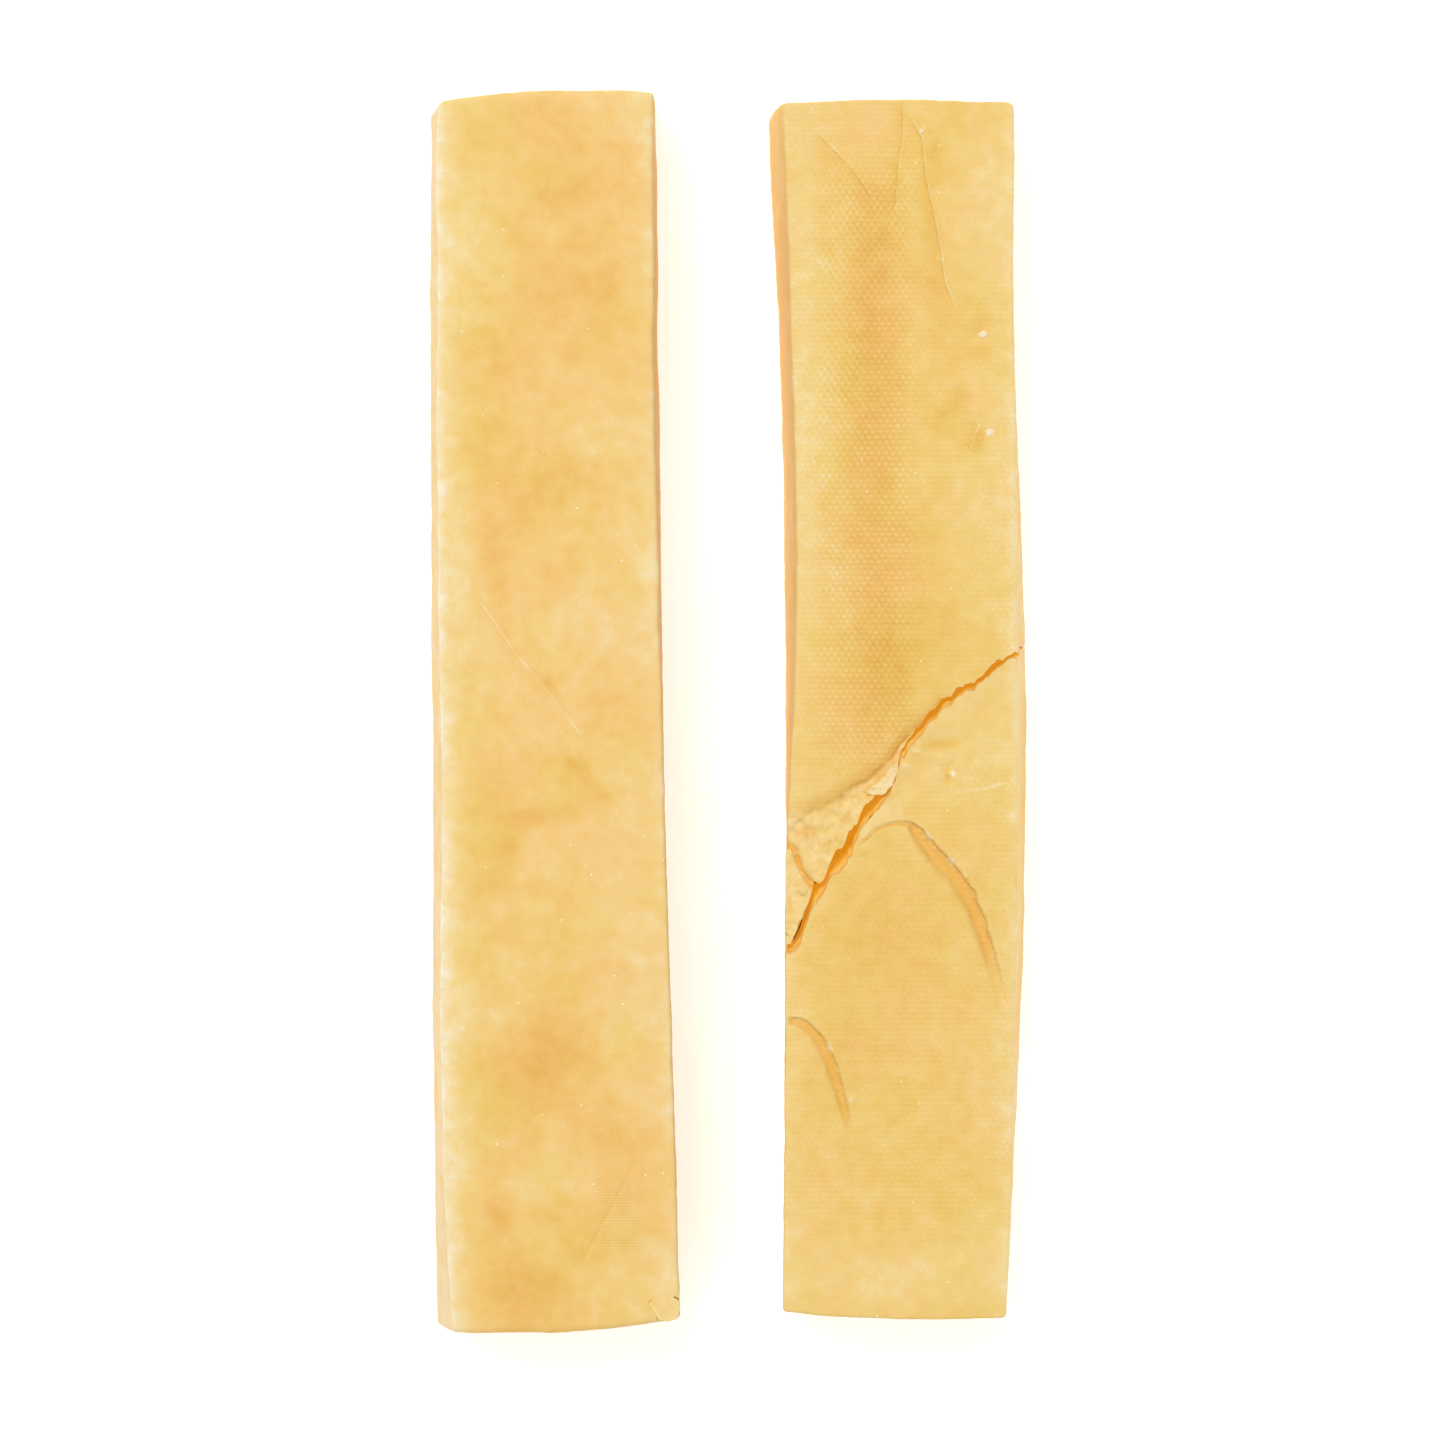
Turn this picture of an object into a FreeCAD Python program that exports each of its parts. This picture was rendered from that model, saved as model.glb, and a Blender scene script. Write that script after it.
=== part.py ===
"""Two hard pressed-curd chew bars lying side by side, in millimetres.

One bar is saw-cut and smooth. The other carries the print of the pressing cloth and has snapped across its
middle, so it is two halves with a few loose flakes along the break. Both lie on z = 0 with their length along
Y, and the origin is at the bottom centre of the pair's box.

In the local frame of each bar, "across" is X from the bar's own middle, "along" is Y from its own middle,
"far" is +Y and "near" is -Y.
"""

import FreeCAD, Part
import math
import os

# The smooth bar: its envelope, and the radius of its long edges.
SMOOTH_LENGTH = 149.4
SMOOTH_WIDTH = 30.9
SMOOTH_THICKNESS = 18.0
SMOOTH_EDGE_RADIUS = 0.9

# The cloth-printed bar, which is cracked right across.
PRINTED_LENGTH = 147.2
PRINTED_WIDTH = 31.8
PRINTED_THICKNESS = 17.6
PRINTED_EDGE_RADIUS = 0.7

# Space between the envelopes of the two bars.
BAR_SPACING = 9.9

# Corner radii in plan, in the order near left, near right, far right, far left.
SMOOTH_CORNERS = (0.8, 0.6, 0.5, 1.4)
PRINTED_CORNERS = (0.5, 0.6, 1.1, 1.9)

# Sides in plan. Each station is its place as a share of the half length, then how far the sides stand in
# from the envelope: top left, top right, base left, base right.
SMOOTH_SIDES = (
    (1.00, 1.3, 3.4, 0.0, 3.1),
    (0.33, 1.3, 2.9, 0.0, 2.6),
    (-0.15, 1.8, 1.9, 0.2, 2.1),
    (-0.65, 1.9, 0.8, 0.4, 1.1),
    (-1.00, 3.1, 0.0, 0.7, 0.4),
)
PRINTED_SIDES = (
    (1.00, 1.8, 1.8, 0.0, 1.6),
    (0.60, 2.9, 1.8, 1.5, 1.4),
    (0.15, 3.4, 1.4, 2.1, 0.1),
    (-0.30, 2.2, 1.4, 2.4, 0.1),
    (-0.65, 2.0, 1.9, 2.3, 1.1),
    (-1.00, 1.8, 2.6, 2.0, 2.4),
)

# Ends in plan: how far the left corner, the middle and the right corner stand in from the envelope.
SMOOTH_FAR_END = (1.6, 0.0, 0.6)
SMOOTH_NEAR_END = (0.3, 0.0, 1.7)
PRINTED_FAR_END = (0.4, 0.0, 0.4)
PRINTED_NEAR_END = (1.3, 0.2, 0.6)

SMOOTH_BAR = {
    "length": SMOOTH_LENGTH,
    "width": SMOOTH_WIDTH,
    "thickness": SMOOTH_THICKNESS,
    "edge_radius": SMOOTH_EDGE_RADIUS,
    "corners": SMOOTH_CORNERS,
    "sides": SMOOTH_SIDES,
    "far_end": SMOOTH_FAR_END,
    "near_end": SMOOTH_NEAR_END,
}
PRINTED_BAR = {
    "length": PRINTED_LENGTH,
    "width": PRINTED_WIDTH,
    "thickness": PRINTED_THICKNESS,
    "edge_radius": PRINTED_EDGE_RADIUS,
    "corners": PRINTED_CORNERS,
    "sides": PRINTED_SIDES,
    "far_end": PRINTED_FAR_END,
    "near_end": PRINTED_NEAR_END,
}
# How many flats stand for each rounded long edge.
RIM_STEPS = 3

# The through crack of the printed bar, from its left side to its right side. Each point is a share of the
# half width across, millimetres along from the bar's middle, and the width of the crack's mouth there.
CRACK_PATH = (
    (-0.87, -29.2, 0.6),
    (-0.76, -26.8, 0.9),
    (-0.68, -23.2, 1.2),
    (-0.61, -20.8, 1.3),
    (-0.46, -17.9, 1.6),
    (-0.35, -16.1, 1.7),
    (-0.30, -13.9, 1.3),
    (-0.14, -10.6, 1.4),
    (0.02, -8.3, 1.2),
    (0.07, -4.2, 0.9),
    (0.18, -2.2, 0.8),
    (0.34, 1.1, 0.7),
    (0.56, 3.2, 0.6),
    (0.74, 5.6, 0.6),
    (0.90, 6.4, 0.6),
)
CRACK_WIDTH_AT_BASE = 0.35
# How far the cutting shapes of cracks and pockets run on past the faces that they open through.
OVERSHOOT = 4.0

# Shallow V grooves in the printed face. Their points are like the crack's.
ARCH_GROOVE = (
    (-0.30, -16.2, 0.5),
    (-0.20, -14.9, 0.5),
    (-0.05, -13.7, 0.4),
    (0.12, -14.0, 1.0),
    (0.28, -16.6, 1.6),
    (0.50, -21.0, 1.7),
    (0.66, -26.8, 1.5),
    (0.78, -34.9, 0.8),
)
ARCH_GROOVE_DEPTH = 0.9
FOLD_GROOVE = (
    (-0.84, -37.3, 0.6),
    (-0.70, -37.9, 0.8),
    (-0.55, -40.9, 1.0),
    (-0.44, -46.2, 0.9),
    (-0.37, -51.4, 0.5),
)
FOLD_GROOVE_DEPTH = 0.6

# Loose pieces: their outline in plan as shares of the half width across and millimetres along, and how deep
# each goes into the bar from its top face. Sides that face the crack or the open air run past it.
FLAKE_CLEARANCE = 0.12
RIDGE_FLAKE = ((-0.26, -9.9), (-0.01, -6.0), (0.05, -6.4), (0.01, -9.0), (-0.15, -11.3))
RIDGE_FLAKE_DEPTH = 1.4
WEDGE_FLAKE = ((-0.30, -15.4), (-0.33, -13.5), (0.00, -9.4), (0.05, -13.0), (-0.18, -14.2))
WEDGE_FLAKE_DEPTH = 2.6
SIDE_SPLINTER = (
    (-1.10, -16.4),
    (-0.80, -17.0),
    (-0.73, -19.2),
    (-0.60, -21.4),
    (-0.75, -28.0),
    (-1.10, -33.0),
)
SIDE_SPLINTER_DEPTH = 3.5
CRUMBS = ((0.62, 45.3, 1.5), (0.68, 33.7, 1.8), (0.20, 69.6, 0.8))
CRUMB_DEPTH = 0.7
CRUMB_SIDES = 5

# The corner chip of the smooth bar, measured back from its near right corner: across and along.
CORNER_CHIP = ((-4.9, 4.4), (-3.2, 0.6))
CORNER_CHIP_REACH = 4.6
CORNER_CHIP_DEPTH = 2.6


def vector(x, y, z=0.0):
    return FreeCAD.Vector(x, y, z)


def curve(points):
    """A smooth edge through points."""
    line = Part.BSplineCurve()
    line.interpolate(points)
    return line.toShape()


def corner_arc(corner, radius, across_sign, along_sign, z):
    """A rounded corner in plan, as its end on the side, its middle and its end on the bar's end."""
    side = vector(corner[0], corner[1] - along_sign * radius, z)
    end = vector(corner[0] - across_sign * radius, corner[1], z)
    slack = radius * (1 - math.sqrt(0.5))
    middle = vector(corner[0] - across_sign * slack, corner[1] - along_sign * slack, z)
    return side, middle, end


def section(bar, mix, z, tuck):
    """The bar's closed outline at height z. Mix 0 is the base and 1 the top; tuck draws it in all round."""
    half_length, half_width = bar["length"] / 2, bar["width"] / 2
    near_left, near_right, far_right, far_left = bar["corners"]
    far = [half_length - inset - tuck for inset in bar["far_end"]]
    near = [inset + tuck - half_length for inset in bar["near_end"]]
    left_side = []
    right_side = []
    for share, top_left, top_right, base_left, base_right in bar["sides"]:
        left = tuck - half_width + base_left + mix * (top_left - base_left)
        right = half_width - tuck - base_right - mix * (top_right - base_right)
        left_side.append(vector(left, share * half_length, z))
        right_side.append(vector(right, share * half_length, z))
    corners = {
        "far left": corner_arc((left_side[0].x, far[0]), far_left, -1, 1, z),
        "far right": corner_arc((right_side[0].x, far[2]), far_right, 1, 1, z),
        "near right": corner_arc((right_side[-1].x, near[2]), near_right, 1, -1, z),
        "near left": corner_arc((left_side[-1].x, near[0]), near_left, -1, -1, z),
    }
    right_points = [corners["far right"][0], *right_side[1:-1], corners["near right"][0]]
    left_points = [corners["near left"][0], *left_side[-2:0:-1], corners["far left"][0]]
    far_end = Part.Arc(corners["far left"][2], vector(0, far[1], z), corners["far right"][2])
    near_end = Part.Arc(corners["near right"][2], vector(0, near[1], z), corners["near left"][2])
    edges = [
        far_end.toShape(),
        Part.Arc(*corners["far right"][::-1]).toShape(),
        curve(right_points),
        Part.Arc(*corners["near right"]).toShape(),
        near_end.toShape(),
        Part.Arc(*corners["near left"][::-1]).toShape(),
        curve(left_points),
        Part.Arc(*corners["far left"]).toShape(),
    ]
    return Part.Wire(edges)


def whole_bar(bar):
    """One bar about its own middle, on z = 0, with splayed sides and worn edges."""
    radius, thickness = bar["edge_radius"], bar["thickness"]
    tucks = []
    for step in range(RIM_STEPS + 1):
        angle = math.pi / 2 * step / RIM_STEPS
        tucks.append((radius * (1 - math.cos(angle)), radius * (1 - math.sin(angle))))
    heights = [(rise, tuck) for rise, tuck in tucks]
    heights += [(thickness - rise, tuck) for rise, tuck in reversed(tucks)]
    sections = [section(bar, z / thickness, z, tuck) for z, tuck in heights]
    return Part.makeLoft(sections, True, True)


def placed(path, half_width):
    """Path points with their share across turned into millimetres."""
    return [(share * half_width, along, *rest) for share, along, *rest in path]


def run_out(path, reach):
    """The path with its first and last stretch carried on past the sides of the bar."""
    (x0, y0, w0), (x1, y1, _) = path[0], path[1]
    (xn, yn, wn), (xm, ym, _) = path[-1], path[-2]
    start = (x0 - reach, y0 - reach * (y1 - y0) / (x1 - x0), w0)
    end = (xn + reach, yn + reach * (yn - ym) / (xn - xm), wn)
    return [start, *path, end]


def band(path, width_at):
    """A closed polygon round a path, as wide at each point as width_at(point) says."""
    upper = []
    lower = []
    for i, point in enumerate(path):
        before = path[max(i - 1, 0)]
        after = path[min(i + 1, len(path) - 1)]
        dx, dy = after[0] - before[0], after[1] - before[1]
        size = math.hypot(dx, dy)
        nx, ny = -dy / size, dx / size
        reach = width_at(point) / 2
        upper.append((point[0] + nx * reach, point[1] + ny * reach))
        lower.append((point[0] - nx * reach, point[1] - ny * reach))
    return upper + lower[::-1]


def ruled_prism(base_points, base_z, top_points, top_z):
    """A solid between two polygons with the same number of points."""
    wires = []
    for points, z in ((base_points, base_z), (top_points, top_z)):
        corners = [vector(x, y, z) for x, y in points]
        wires.append(Part.makePolygon(corners + corners[:1]))
    return Part.makeLoft(wires, True, True)


def crack_blade(thickness, half_width):
    """The space of the through crack: narrow at the base and open at the printed face."""
    path = run_out(placed(CRACK_PATH, half_width), OVERSHOOT)
    narrow = band(path, lambda point: CRACK_WIDTH_AT_BASE)
    mouth = band(path, lambda point: point[2])
    through = ruled_prism(narrow, -OVERSHOOT, narrow, thickness + OVERSHOOT)
    opening = ruled_prism(narrow, thickness / 2, mouth, thickness)
    above = ruled_prism(mouth, thickness, mouth, thickness + OVERSHOOT)
    return through.fuse([opening, above])


def groove(path, depth, thickness, half_width):
    """A V groove of that depth along a path in the top face."""
    points = placed(path, half_width)
    mouth = band(points, lambda point: point[2])
    root = band(points, lambda point: 0.1 * point[2])
    return ruled_prism(root, thickness - depth, mouth, thickness)


def upright_prism(points, base_z, top_z):
    return ruled_prism(points, base_z, points, top_z)


def side_normal(start, end):
    """The unit vector to the right of the way from start to end, in plan."""
    dx, dy = end[0] - start[0], end[1] - start[1]
    size = math.hypot(dx, dy)
    return dy / size, -dx / size


def grown(points, by):
    """A convex polygon with every side moved outward by that much."""
    ahead = points[1:] + points[:1]
    behind = points[-1:] + points[:-1]
    turns_left = sum(a[0] * b[1] - b[0] * a[1] for a, b in zip(points, ahead)) > 0
    outward = by if turns_left else -by
    corners = []
    for before, point, after in zip(behind, points, ahead):
        n, m = side_normal(before, point), side_normal(point, after)
        reach = outward / (1 + n[0] * m[0] + n[1] * m[1])
        corners.append((point[0] + reach * (n[0] + m[0]), point[1] + reach * (n[1] + m[1])))
    return corners


def set_free(host, points, depth, thickness):
    """Cuts a loose piece out of the host's top. It lies on its pocket's floor, clear of the pocket's sides."""
    floor = thickness - depth
    piece = host.common(upright_prism(points, floor, thickness + OVERSHOOT))
    pocket = upright_prism(grown(points, FLAKE_CLEARANCE), floor, thickness + OVERSHOOT)
    return host.cut(pocket), piece


def crumb_outline(across, along, size):
    """A rough many-sided crumb in plan."""
    points = []
    for i in range(CRUMB_SIDES):
        angle = 2 * math.pi * i / CRUMB_SIDES + along
        radius = size / 2 * (0.85 + 0.3 * (i % 2))
        points.append((across + radius * math.cos(angle), along + radius * math.sin(angle)))
    return points


def smooth_bar_pieces():
    bar = whole_bar(SMOOTH_BAR)
    corner = (SMOOTH_WIDTH / 2, -SMOOTH_LENGTH / 2)
    back = [(corner[0] + across, corner[1] + along) for across, along in CORNER_CHIP]
    outside = corner[0] + OVERSHOOT
    chip_points = [
        *back,
        (back[-1][0], corner[1] - OVERSHOOT),
        (outside, corner[1] - OVERSHOOT),
        (outside, corner[1] + CORNER_CHIP_REACH),
    ]
    bar, chip = set_free(bar, chip_points, CORNER_CHIP_DEPTH, SMOOTH_THICKNESS)
    return {"smooth_bar": bar, "corner_chip": chip}


def printed_bar_pieces():
    thickness = PRINTED_THICKNESS
    half_width = PRINTED_WIDTH / 2
    bar = whole_bar(PRINTED_BAR)
    bar = bar.cut(groove(ARCH_GROOVE, ARCH_GROOVE_DEPTH, thickness, half_width))
    bar = bar.cut(groove(FOLD_GROOVE, FOLD_GROOVE_DEPTH, thickness, half_width))
    halves = bar.cut(crack_blade(thickness, half_width)).Solids
    halves.sort(key=lambda solid: solid.CenterOfMass.y)
    near_half = halves[0]
    far_half = halves[-1]

    ridge = placed(RIDGE_FLAKE, half_width)
    splinter = placed(SIDE_SPLINTER, half_width)
    wedge = placed(WEDGE_FLAKE, half_width)
    far_half, ridge_flake = set_free(far_half, ridge, RIDGE_FLAKE_DEPTH, thickness)
    far_half, side_splinter = set_free(far_half, splinter, SIDE_SPLINTER_DEPTH, thickness)
    near_half, wedge_flake = set_free(near_half, wedge, WEDGE_FLAKE_DEPTH, thickness)
    crumbs = []
    for share, along, size in CRUMBS:
        points = crumb_outline(share * half_width, along, size)
        far_half, crumb = set_free(far_half, points, CRUMB_DEPTH, thickness)
        crumbs.append(crumb)
    return {
        "printed_bar_far_half": far_half,
        "printed_bar_near_half": near_half,
        "ridge_flake": ridge_flake,
        "side_splinter": side_splinter,
        "wedge_flake": wedge_flake,
        "face_crumbs": Part.makeCompound(crumbs),
    }


def moved(pieces, across):
    """The pieces, moved sideways to where their bar lies."""
    for piece in pieces.values():
        piece.translate(vector(across, 0))
    return pieces


def main():
    pieces = {}
    pieces.update(moved(smooth_bar_pieces(), -(BAR_SPACING + SMOOTH_WIDTH) / 2))
    pieces.update(moved(printed_bar_pieces(), (BAR_SPACING + PRINTED_WIDTH) / 2))
    box = Part.makeCompound(list(pieces.values())).optimalBoundingBox(False, False)
    centre = vector(-(box.XMin + box.XMax) / 2, -(box.YMin + box.YMax) / 2, -box.ZMin)
    os.makedirs("parts", exist_ok=True)
    for name, piece in pieces.items():
        piece.translate(centre)
        piece.exportStep(f"parts/{name}.step")
        sizes = piece.optimalBoundingBox(False, False)
        print(
            f"{name}: {len(piece.Solids)} solid(s), valid {piece.isValid()}, volume {piece.Volume:.1f}, "
            f"x {sizes.XMin:.2f} {sizes.XMax:.2f} y {sizes.YMin:.2f} {sizes.YMax:.2f} "
            f"z {sizes.ZMin:.2f} {sizes.ZMax:.2f}"
        )


main()
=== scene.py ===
import math

import bmesh
import bpy
import numpy as np
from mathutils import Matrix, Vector, kdtree
from mathutils.geometry import delaunay_2d_cdt


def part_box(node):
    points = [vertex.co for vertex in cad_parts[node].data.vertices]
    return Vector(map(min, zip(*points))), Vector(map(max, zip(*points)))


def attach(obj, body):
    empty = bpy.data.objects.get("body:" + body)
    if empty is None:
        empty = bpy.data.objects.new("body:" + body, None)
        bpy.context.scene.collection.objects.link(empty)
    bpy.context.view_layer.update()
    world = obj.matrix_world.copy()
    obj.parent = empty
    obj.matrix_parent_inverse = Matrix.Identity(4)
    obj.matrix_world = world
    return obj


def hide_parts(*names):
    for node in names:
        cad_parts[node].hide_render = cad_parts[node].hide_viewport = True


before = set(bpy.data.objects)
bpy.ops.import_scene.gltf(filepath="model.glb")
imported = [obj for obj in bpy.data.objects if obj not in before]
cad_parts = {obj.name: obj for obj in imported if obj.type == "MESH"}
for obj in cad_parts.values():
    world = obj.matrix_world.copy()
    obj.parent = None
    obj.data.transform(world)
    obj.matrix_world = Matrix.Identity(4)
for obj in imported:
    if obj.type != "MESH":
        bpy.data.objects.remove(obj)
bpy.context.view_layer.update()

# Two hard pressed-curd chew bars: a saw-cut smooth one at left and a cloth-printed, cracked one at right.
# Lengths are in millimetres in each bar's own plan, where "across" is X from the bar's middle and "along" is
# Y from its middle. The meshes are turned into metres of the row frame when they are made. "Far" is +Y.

MM = 0.001


# ---- numbers in, smooth numbers out


def step_up(low, high, value):
    """0 below low, 1 above high and a smooth rise between."""
    t = np.clip((value - low) / (high - low), 0.0, 1.0)
    return t * t * (3.0 - 2.0 * t)


def bell(distance, width):
    """1 at no distance, falling smoothly to nothing at about two widths."""
    return np.exp(-((distance / width) ** 2))


def window(value, opens, open_by, closes, shut_by):
    """0, a smooth rise to 1 between the first two places, and a smooth fall to 0 between the last two."""
    return step_up(opens, open_by, value) * (1.0 - step_up(closes, shut_by, value))


def curve_through(at, places, values):
    """A smooth curve through (places, values), read at the given places."""
    places, values = np.asarray(places, float), np.asarray(values, float)
    if places[0] > places[-1]:
        places, values = places[::-1], values[::-1]
    slopes = np.gradient(values, places)
    at = np.clip(at, places[0], places[-1])
    i = np.clip(np.searchsorted(places, at) - 1, 0, len(places) - 2)
    gap = places[i + 1] - places[i]
    t = (at - places[i]) / gap
    start = (2 * t**3 - 3 * t**2 + 1) * values[i] + (t**3 - 2 * t**2 + t) * gap * slopes[i]
    end = (3 * t**2 - 2 * t**3) * values[i + 1] + (t**3 - t**2) * gap * slopes[i + 1]
    return start + end


def bumps(x, y, size, seed):
    """Smooth random heights between -1 and 1, about size millimetres apart."""
    table = np.random.default_rng(seed).uniform(-1.0, 1.0, (128, 128))
    u, v = np.asarray(x) / size + 64.0, np.asarray(y) / size + 64.0
    i, j = np.floor(u).astype(int), np.floor(v).astype(int)
    fu, fv = u - i, v - j
    fu, fv = fu * fu * (3 - 2 * fu), fv * fv * (3 - 2 * fv)
    corners = [table[(i + a) % 128, (j + b) % 128] for a in (0, 1) for b in (0, 1)]
    low = corners[0] * (1 - fv) + corners[1] * fv
    high = corners[2] * (1 - fv) + corners[3] * fv
    return low * (1 - fu) + high * fu


def near_path(x, y, path):
    """Distance to a path, which side (+1 is left of its way), share along it and the path's third value."""
    x, y = np.asarray(x, float), np.asarray(y, float)
    best = np.full(x.shape, 1e9)
    side, share, third = np.ones(x.shape), np.zeros(x.shape), np.zeros(x.shape)
    points = np.array([(*p, 1.0)[:3] for p in path], float)
    steps = np.hypot(*np.diff(points[:, :2], axis=0).T)
    total, walked = steps.sum(), 0.0
    for a, b, size in zip(points[:-1], points[1:], steps):
        dx, dy = b[0] - a[0], b[1] - a[1]
        t = np.clip(((x - a[0]) * dx + (y - a[1]) * dy) / size**2, 0.0, 1.0)
        away = np.hypot(x - a[0] - t * dx, y - a[1] - t * dy)
        closer = away < best
        best = np.where(closer, away, best)
        side = np.where(closer, np.sign(dx * (y - a[1]) - dy * (x - a[0])), side)
        share = np.where(closer, (walked + t * size) / total, share)
        third = np.where(closer, a[2] + t * (b[2] - a[2]), third)
        walked += size
    return best, side, share, third


# ---- the two bars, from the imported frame


class Bar:
    """One bar's plan, read from the boxes of its CAD nodes, with its side and end insets in millimetres."""

    def __init__(self, nodes, sides, far_end, near_end, top_corners, base_corners):
        boxes = [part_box(n) for n in nodes]
        low = np.min([b[0] for b in boxes], axis=0) / MM
        high = np.max([b[1] for b in boxes], axis=0) / MM
        self.centre = (low[:2] + high[:2]) / 2
        self.half_width, self.half_length = (high[:2] - low[:2]) / 2
        self.thickness = high[2]
        self.stations = np.array([s[0] for s in sides]) * self.half_length
        self.insets = np.array([s[1:] for s in sides]).T
        self.far_end, self.near_end = far_end, near_end
        self.top_corners, self.base_corners = np.array(top_corners), np.array(base_corners)

    def corners(self, mix):
        """Radii of the near left, near right, far right and far left corners."""
        return self.base_corners + mix * (self.top_corners - self.base_corners)

    def left(self, y, mix):
        top, base = (curve_through(y, self.stations, self.insets[k]) for k in (0, 2))
        return base + mix * (top - base) - self.half_width

    def right(self, y, mix):
        top, base = (curve_through(y, self.stations, self.insets[k]) for k in (1, 3))
        return self.half_width - base - mix * (top - base)

    def bow(self, x, insets):
        a = np.clip(x / self.half_width, -1, 1)
        left, middle, right = insets
        return np.maximum(middle + (right - left) / 2 * a + ((left + right) / 2 - middle) * a * a, 0.0)

    def far(self, x, z=None):
        return self.half_length - self.bow(x, self.far_end)

    def near(self, x, z=None):
        return self.bow(x, self.near_end) - self.half_length

    def edge_distance(self, x, y, z):
        """How far inside the plan outline at height z a point is."""
        mix = z / self.thickness
        sides = np.minimum(x - self.left(y, mix), self.right(y, mix) - x)
        return np.minimum(sides, np.minimum(self.far(x) - y, y - self.near(x)))


SMOOTH = Bar(
    ["smooth_bar", "corner_chip"],
    sides=(
        (1.00, 1.3, 3.4, 0.0, 3.1),
        (0.33, 1.3, 2.9, 0.0, 2.6),
        (-0.15, 1.8, 1.9, 0.2, 2.1),
        (-0.65, 1.9, 0.8, 0.4, 1.1),
        (-1.00, 3.1, 0.0, 0.7, 0.4),
    ),
    far_end=(1.6, 0.0, 0.6),
    near_end=(0.3, 0.0, 1.7),
    top_corners=(0.3, 0.5, 0.25, 0.9),
    base_corners=(0.3, 0.8, 0.7, 1.2),
)
PRINTED = Bar(
    ["printed_bar_near_half", "printed_bar_far_half"],
    sides=(
        (1.00, 1.8, 1.8, 0.0, 1.6),
        (0.60, 2.9, 1.8, 1.5, 1.4),
        (0.15, 3.4, 1.4, 2.1, 0.1),
        (-0.30, 2.2, 1.4, 2.4, 0.1),
        (-0.65, 2.0, 1.9, 2.3, 1.1),
        (-1.00, 1.8, 2.6, 2.0, 2.4),
    ),
    far_end=(0.4, 0.0, 0.35),
    near_end=(1.3, 0.2, 0.6),
    top_corners=(0.3, 0.4, 0.9, 0.5),
    base_corners=(0.5, 0.8, 1.1, 1.7),
)
SMOOTH_RIM = 0.6
PRINTED_RIM = 0.3
FACE_REST = 0.25  # how far the general face lies under the highest points of the box


# ---- the crack and the marks on the printed face

# Across, along and width of the mouth, from the left side to the right side.
CRACK = (
    (-16.0, -32.5, 0.3), (-13.4, -29.0, 0.4), (-12.5, -28.0, 0.7), (-11.7, -26.8, 0.9), (-11.1, -25.2, 0.9),
    (-10.8, -24.4, 0.8), (-10.4, -23.2, 0.8), (-9.9, -21.8, 0.8), (-9.1, -20.6, 0.8), (-7.9, -19.3, 1.1),
    (-7.1, -17.9, 1.5), (-6.2, -17.0, 1.5), (-5.6, -16.1, 1.1), (-5.1, -15.0, 0.6), (-4.6, -14.0, 0.45),
    (-4.0, -12.9, 0.8), (-3.2, -11.7, 1.1), (-2.3, -10.7, 1.1), (-1.5, -9.9, 0.9), (-0.8, -8.9, 0.6),
    (-0.3, -7.8, 0.45), (0.1, -6.4, 0.4), (0.5, -4.9, 0.45), (1.2, -3.8, 0.6), (2.2, -3.0, 0.65),
    (3.0, -2.2, 0.65), (3.6, -1.2, 0.65), (4.5, -0.1, 0.65), (5.3, 0.7, 0.65), (6.5, 1.7, 0.6),
    (8.6, 2.9, 0.55), (9.9, 3.8, 0.5), (11.2, 5.0, 0.5), (12.7, 6.0, 0.45), (14.0, 6.3, 0.35),
    (16.5, 6.6, 0.35),
)
CRACK_X, CRACK_Y, CRACK_WIDTH = np.array(CRACK).T
MOUTH_SCALE = 1.15
CRACK_BASE_WIDTH = 0.34
CRACK_MOUTH_DEPTH = 5.0
CRACK_LEAN = 0.30  # the crack runs this much under the far half for each millimetre of depth, near the face
CRACK_LEAN_DEPTH = 4.0

# The side branch that frees the splinter: across, along, width.
Y_BRANCH = (
    (-15.0, -15.6, 0.2), (-12.7, -16.4, 0.35), (-12.2, -17.6, 0.6), (-11.7, -19.2, 0.7), (-10.9, -20.3, 0.5),
    (-10.0, -21.1, 0.5),
)
SPLINTER_DEPTH = 3.5

# The lower edge of the printed skin, where the face has spalled off above the crack.
SPALL_EDGE = (
    (-15.5, -13.2), (-12.6, -12.9), (-11.5, -12.5), (-8.5, -11.3), (-5.7, -9.5), (-2.5, -7.4),
    (-0.9, -5.7), (0.3, -3.9), (1.1, -3.0), (3.1, -1.5), (5.0, 0.6),
)

# Deeper orange spots of the spalled strip: across, along, radius, strength.
SPALL_SPOTS = (
    (-11.0, -15.0, 0.8, 0.8), (-10.2, -14.4, 0.6, 0.8), (-12.2, -14.6, 0.6, 0.5), (-6.2, -13.2, 0.8, 0.5),
)

# The arched branch below the crack, which opens into a furrow: across, along, width.
ARCH = (
    (-5.0, -16.5, 0.2), (-3.8, -15.5, 0.25), (-2.9, -14.6, 0.3), (-1.6, -13.9, 0.25), (-0.2, -13.6, 0.25),
    (1.3, -13.7, 0.5), (2.1, -14.5, 1.2), (3.2, -16.1, 1.6), (4.4, -17.6, 1.8), (6.8, -20.1, 1.8),
    (8.3, -22.2, 1.7), (9.3, -24.6, 1.5), (10.3, -27.4, 1.4), (11.3, -30.6, 1.2), (12.4, -34.9, 0.9),
)
FOLD = (
    (-13.6, -37.3, 0.8), (-12.2, -37.4, 0.8), (-11.2, -37.8, 0.9), (-9.6, -39.4, 1.1), (-8.4, -41.8, 1.2),
    (-7.2, -45.4, 1.1), (-6.4, -48.4, 0.8), (-5.8, -51.6, 0.5),
)
STAR = (5.6, -6.8)  # the middle of a starry dimple on the bank
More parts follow.
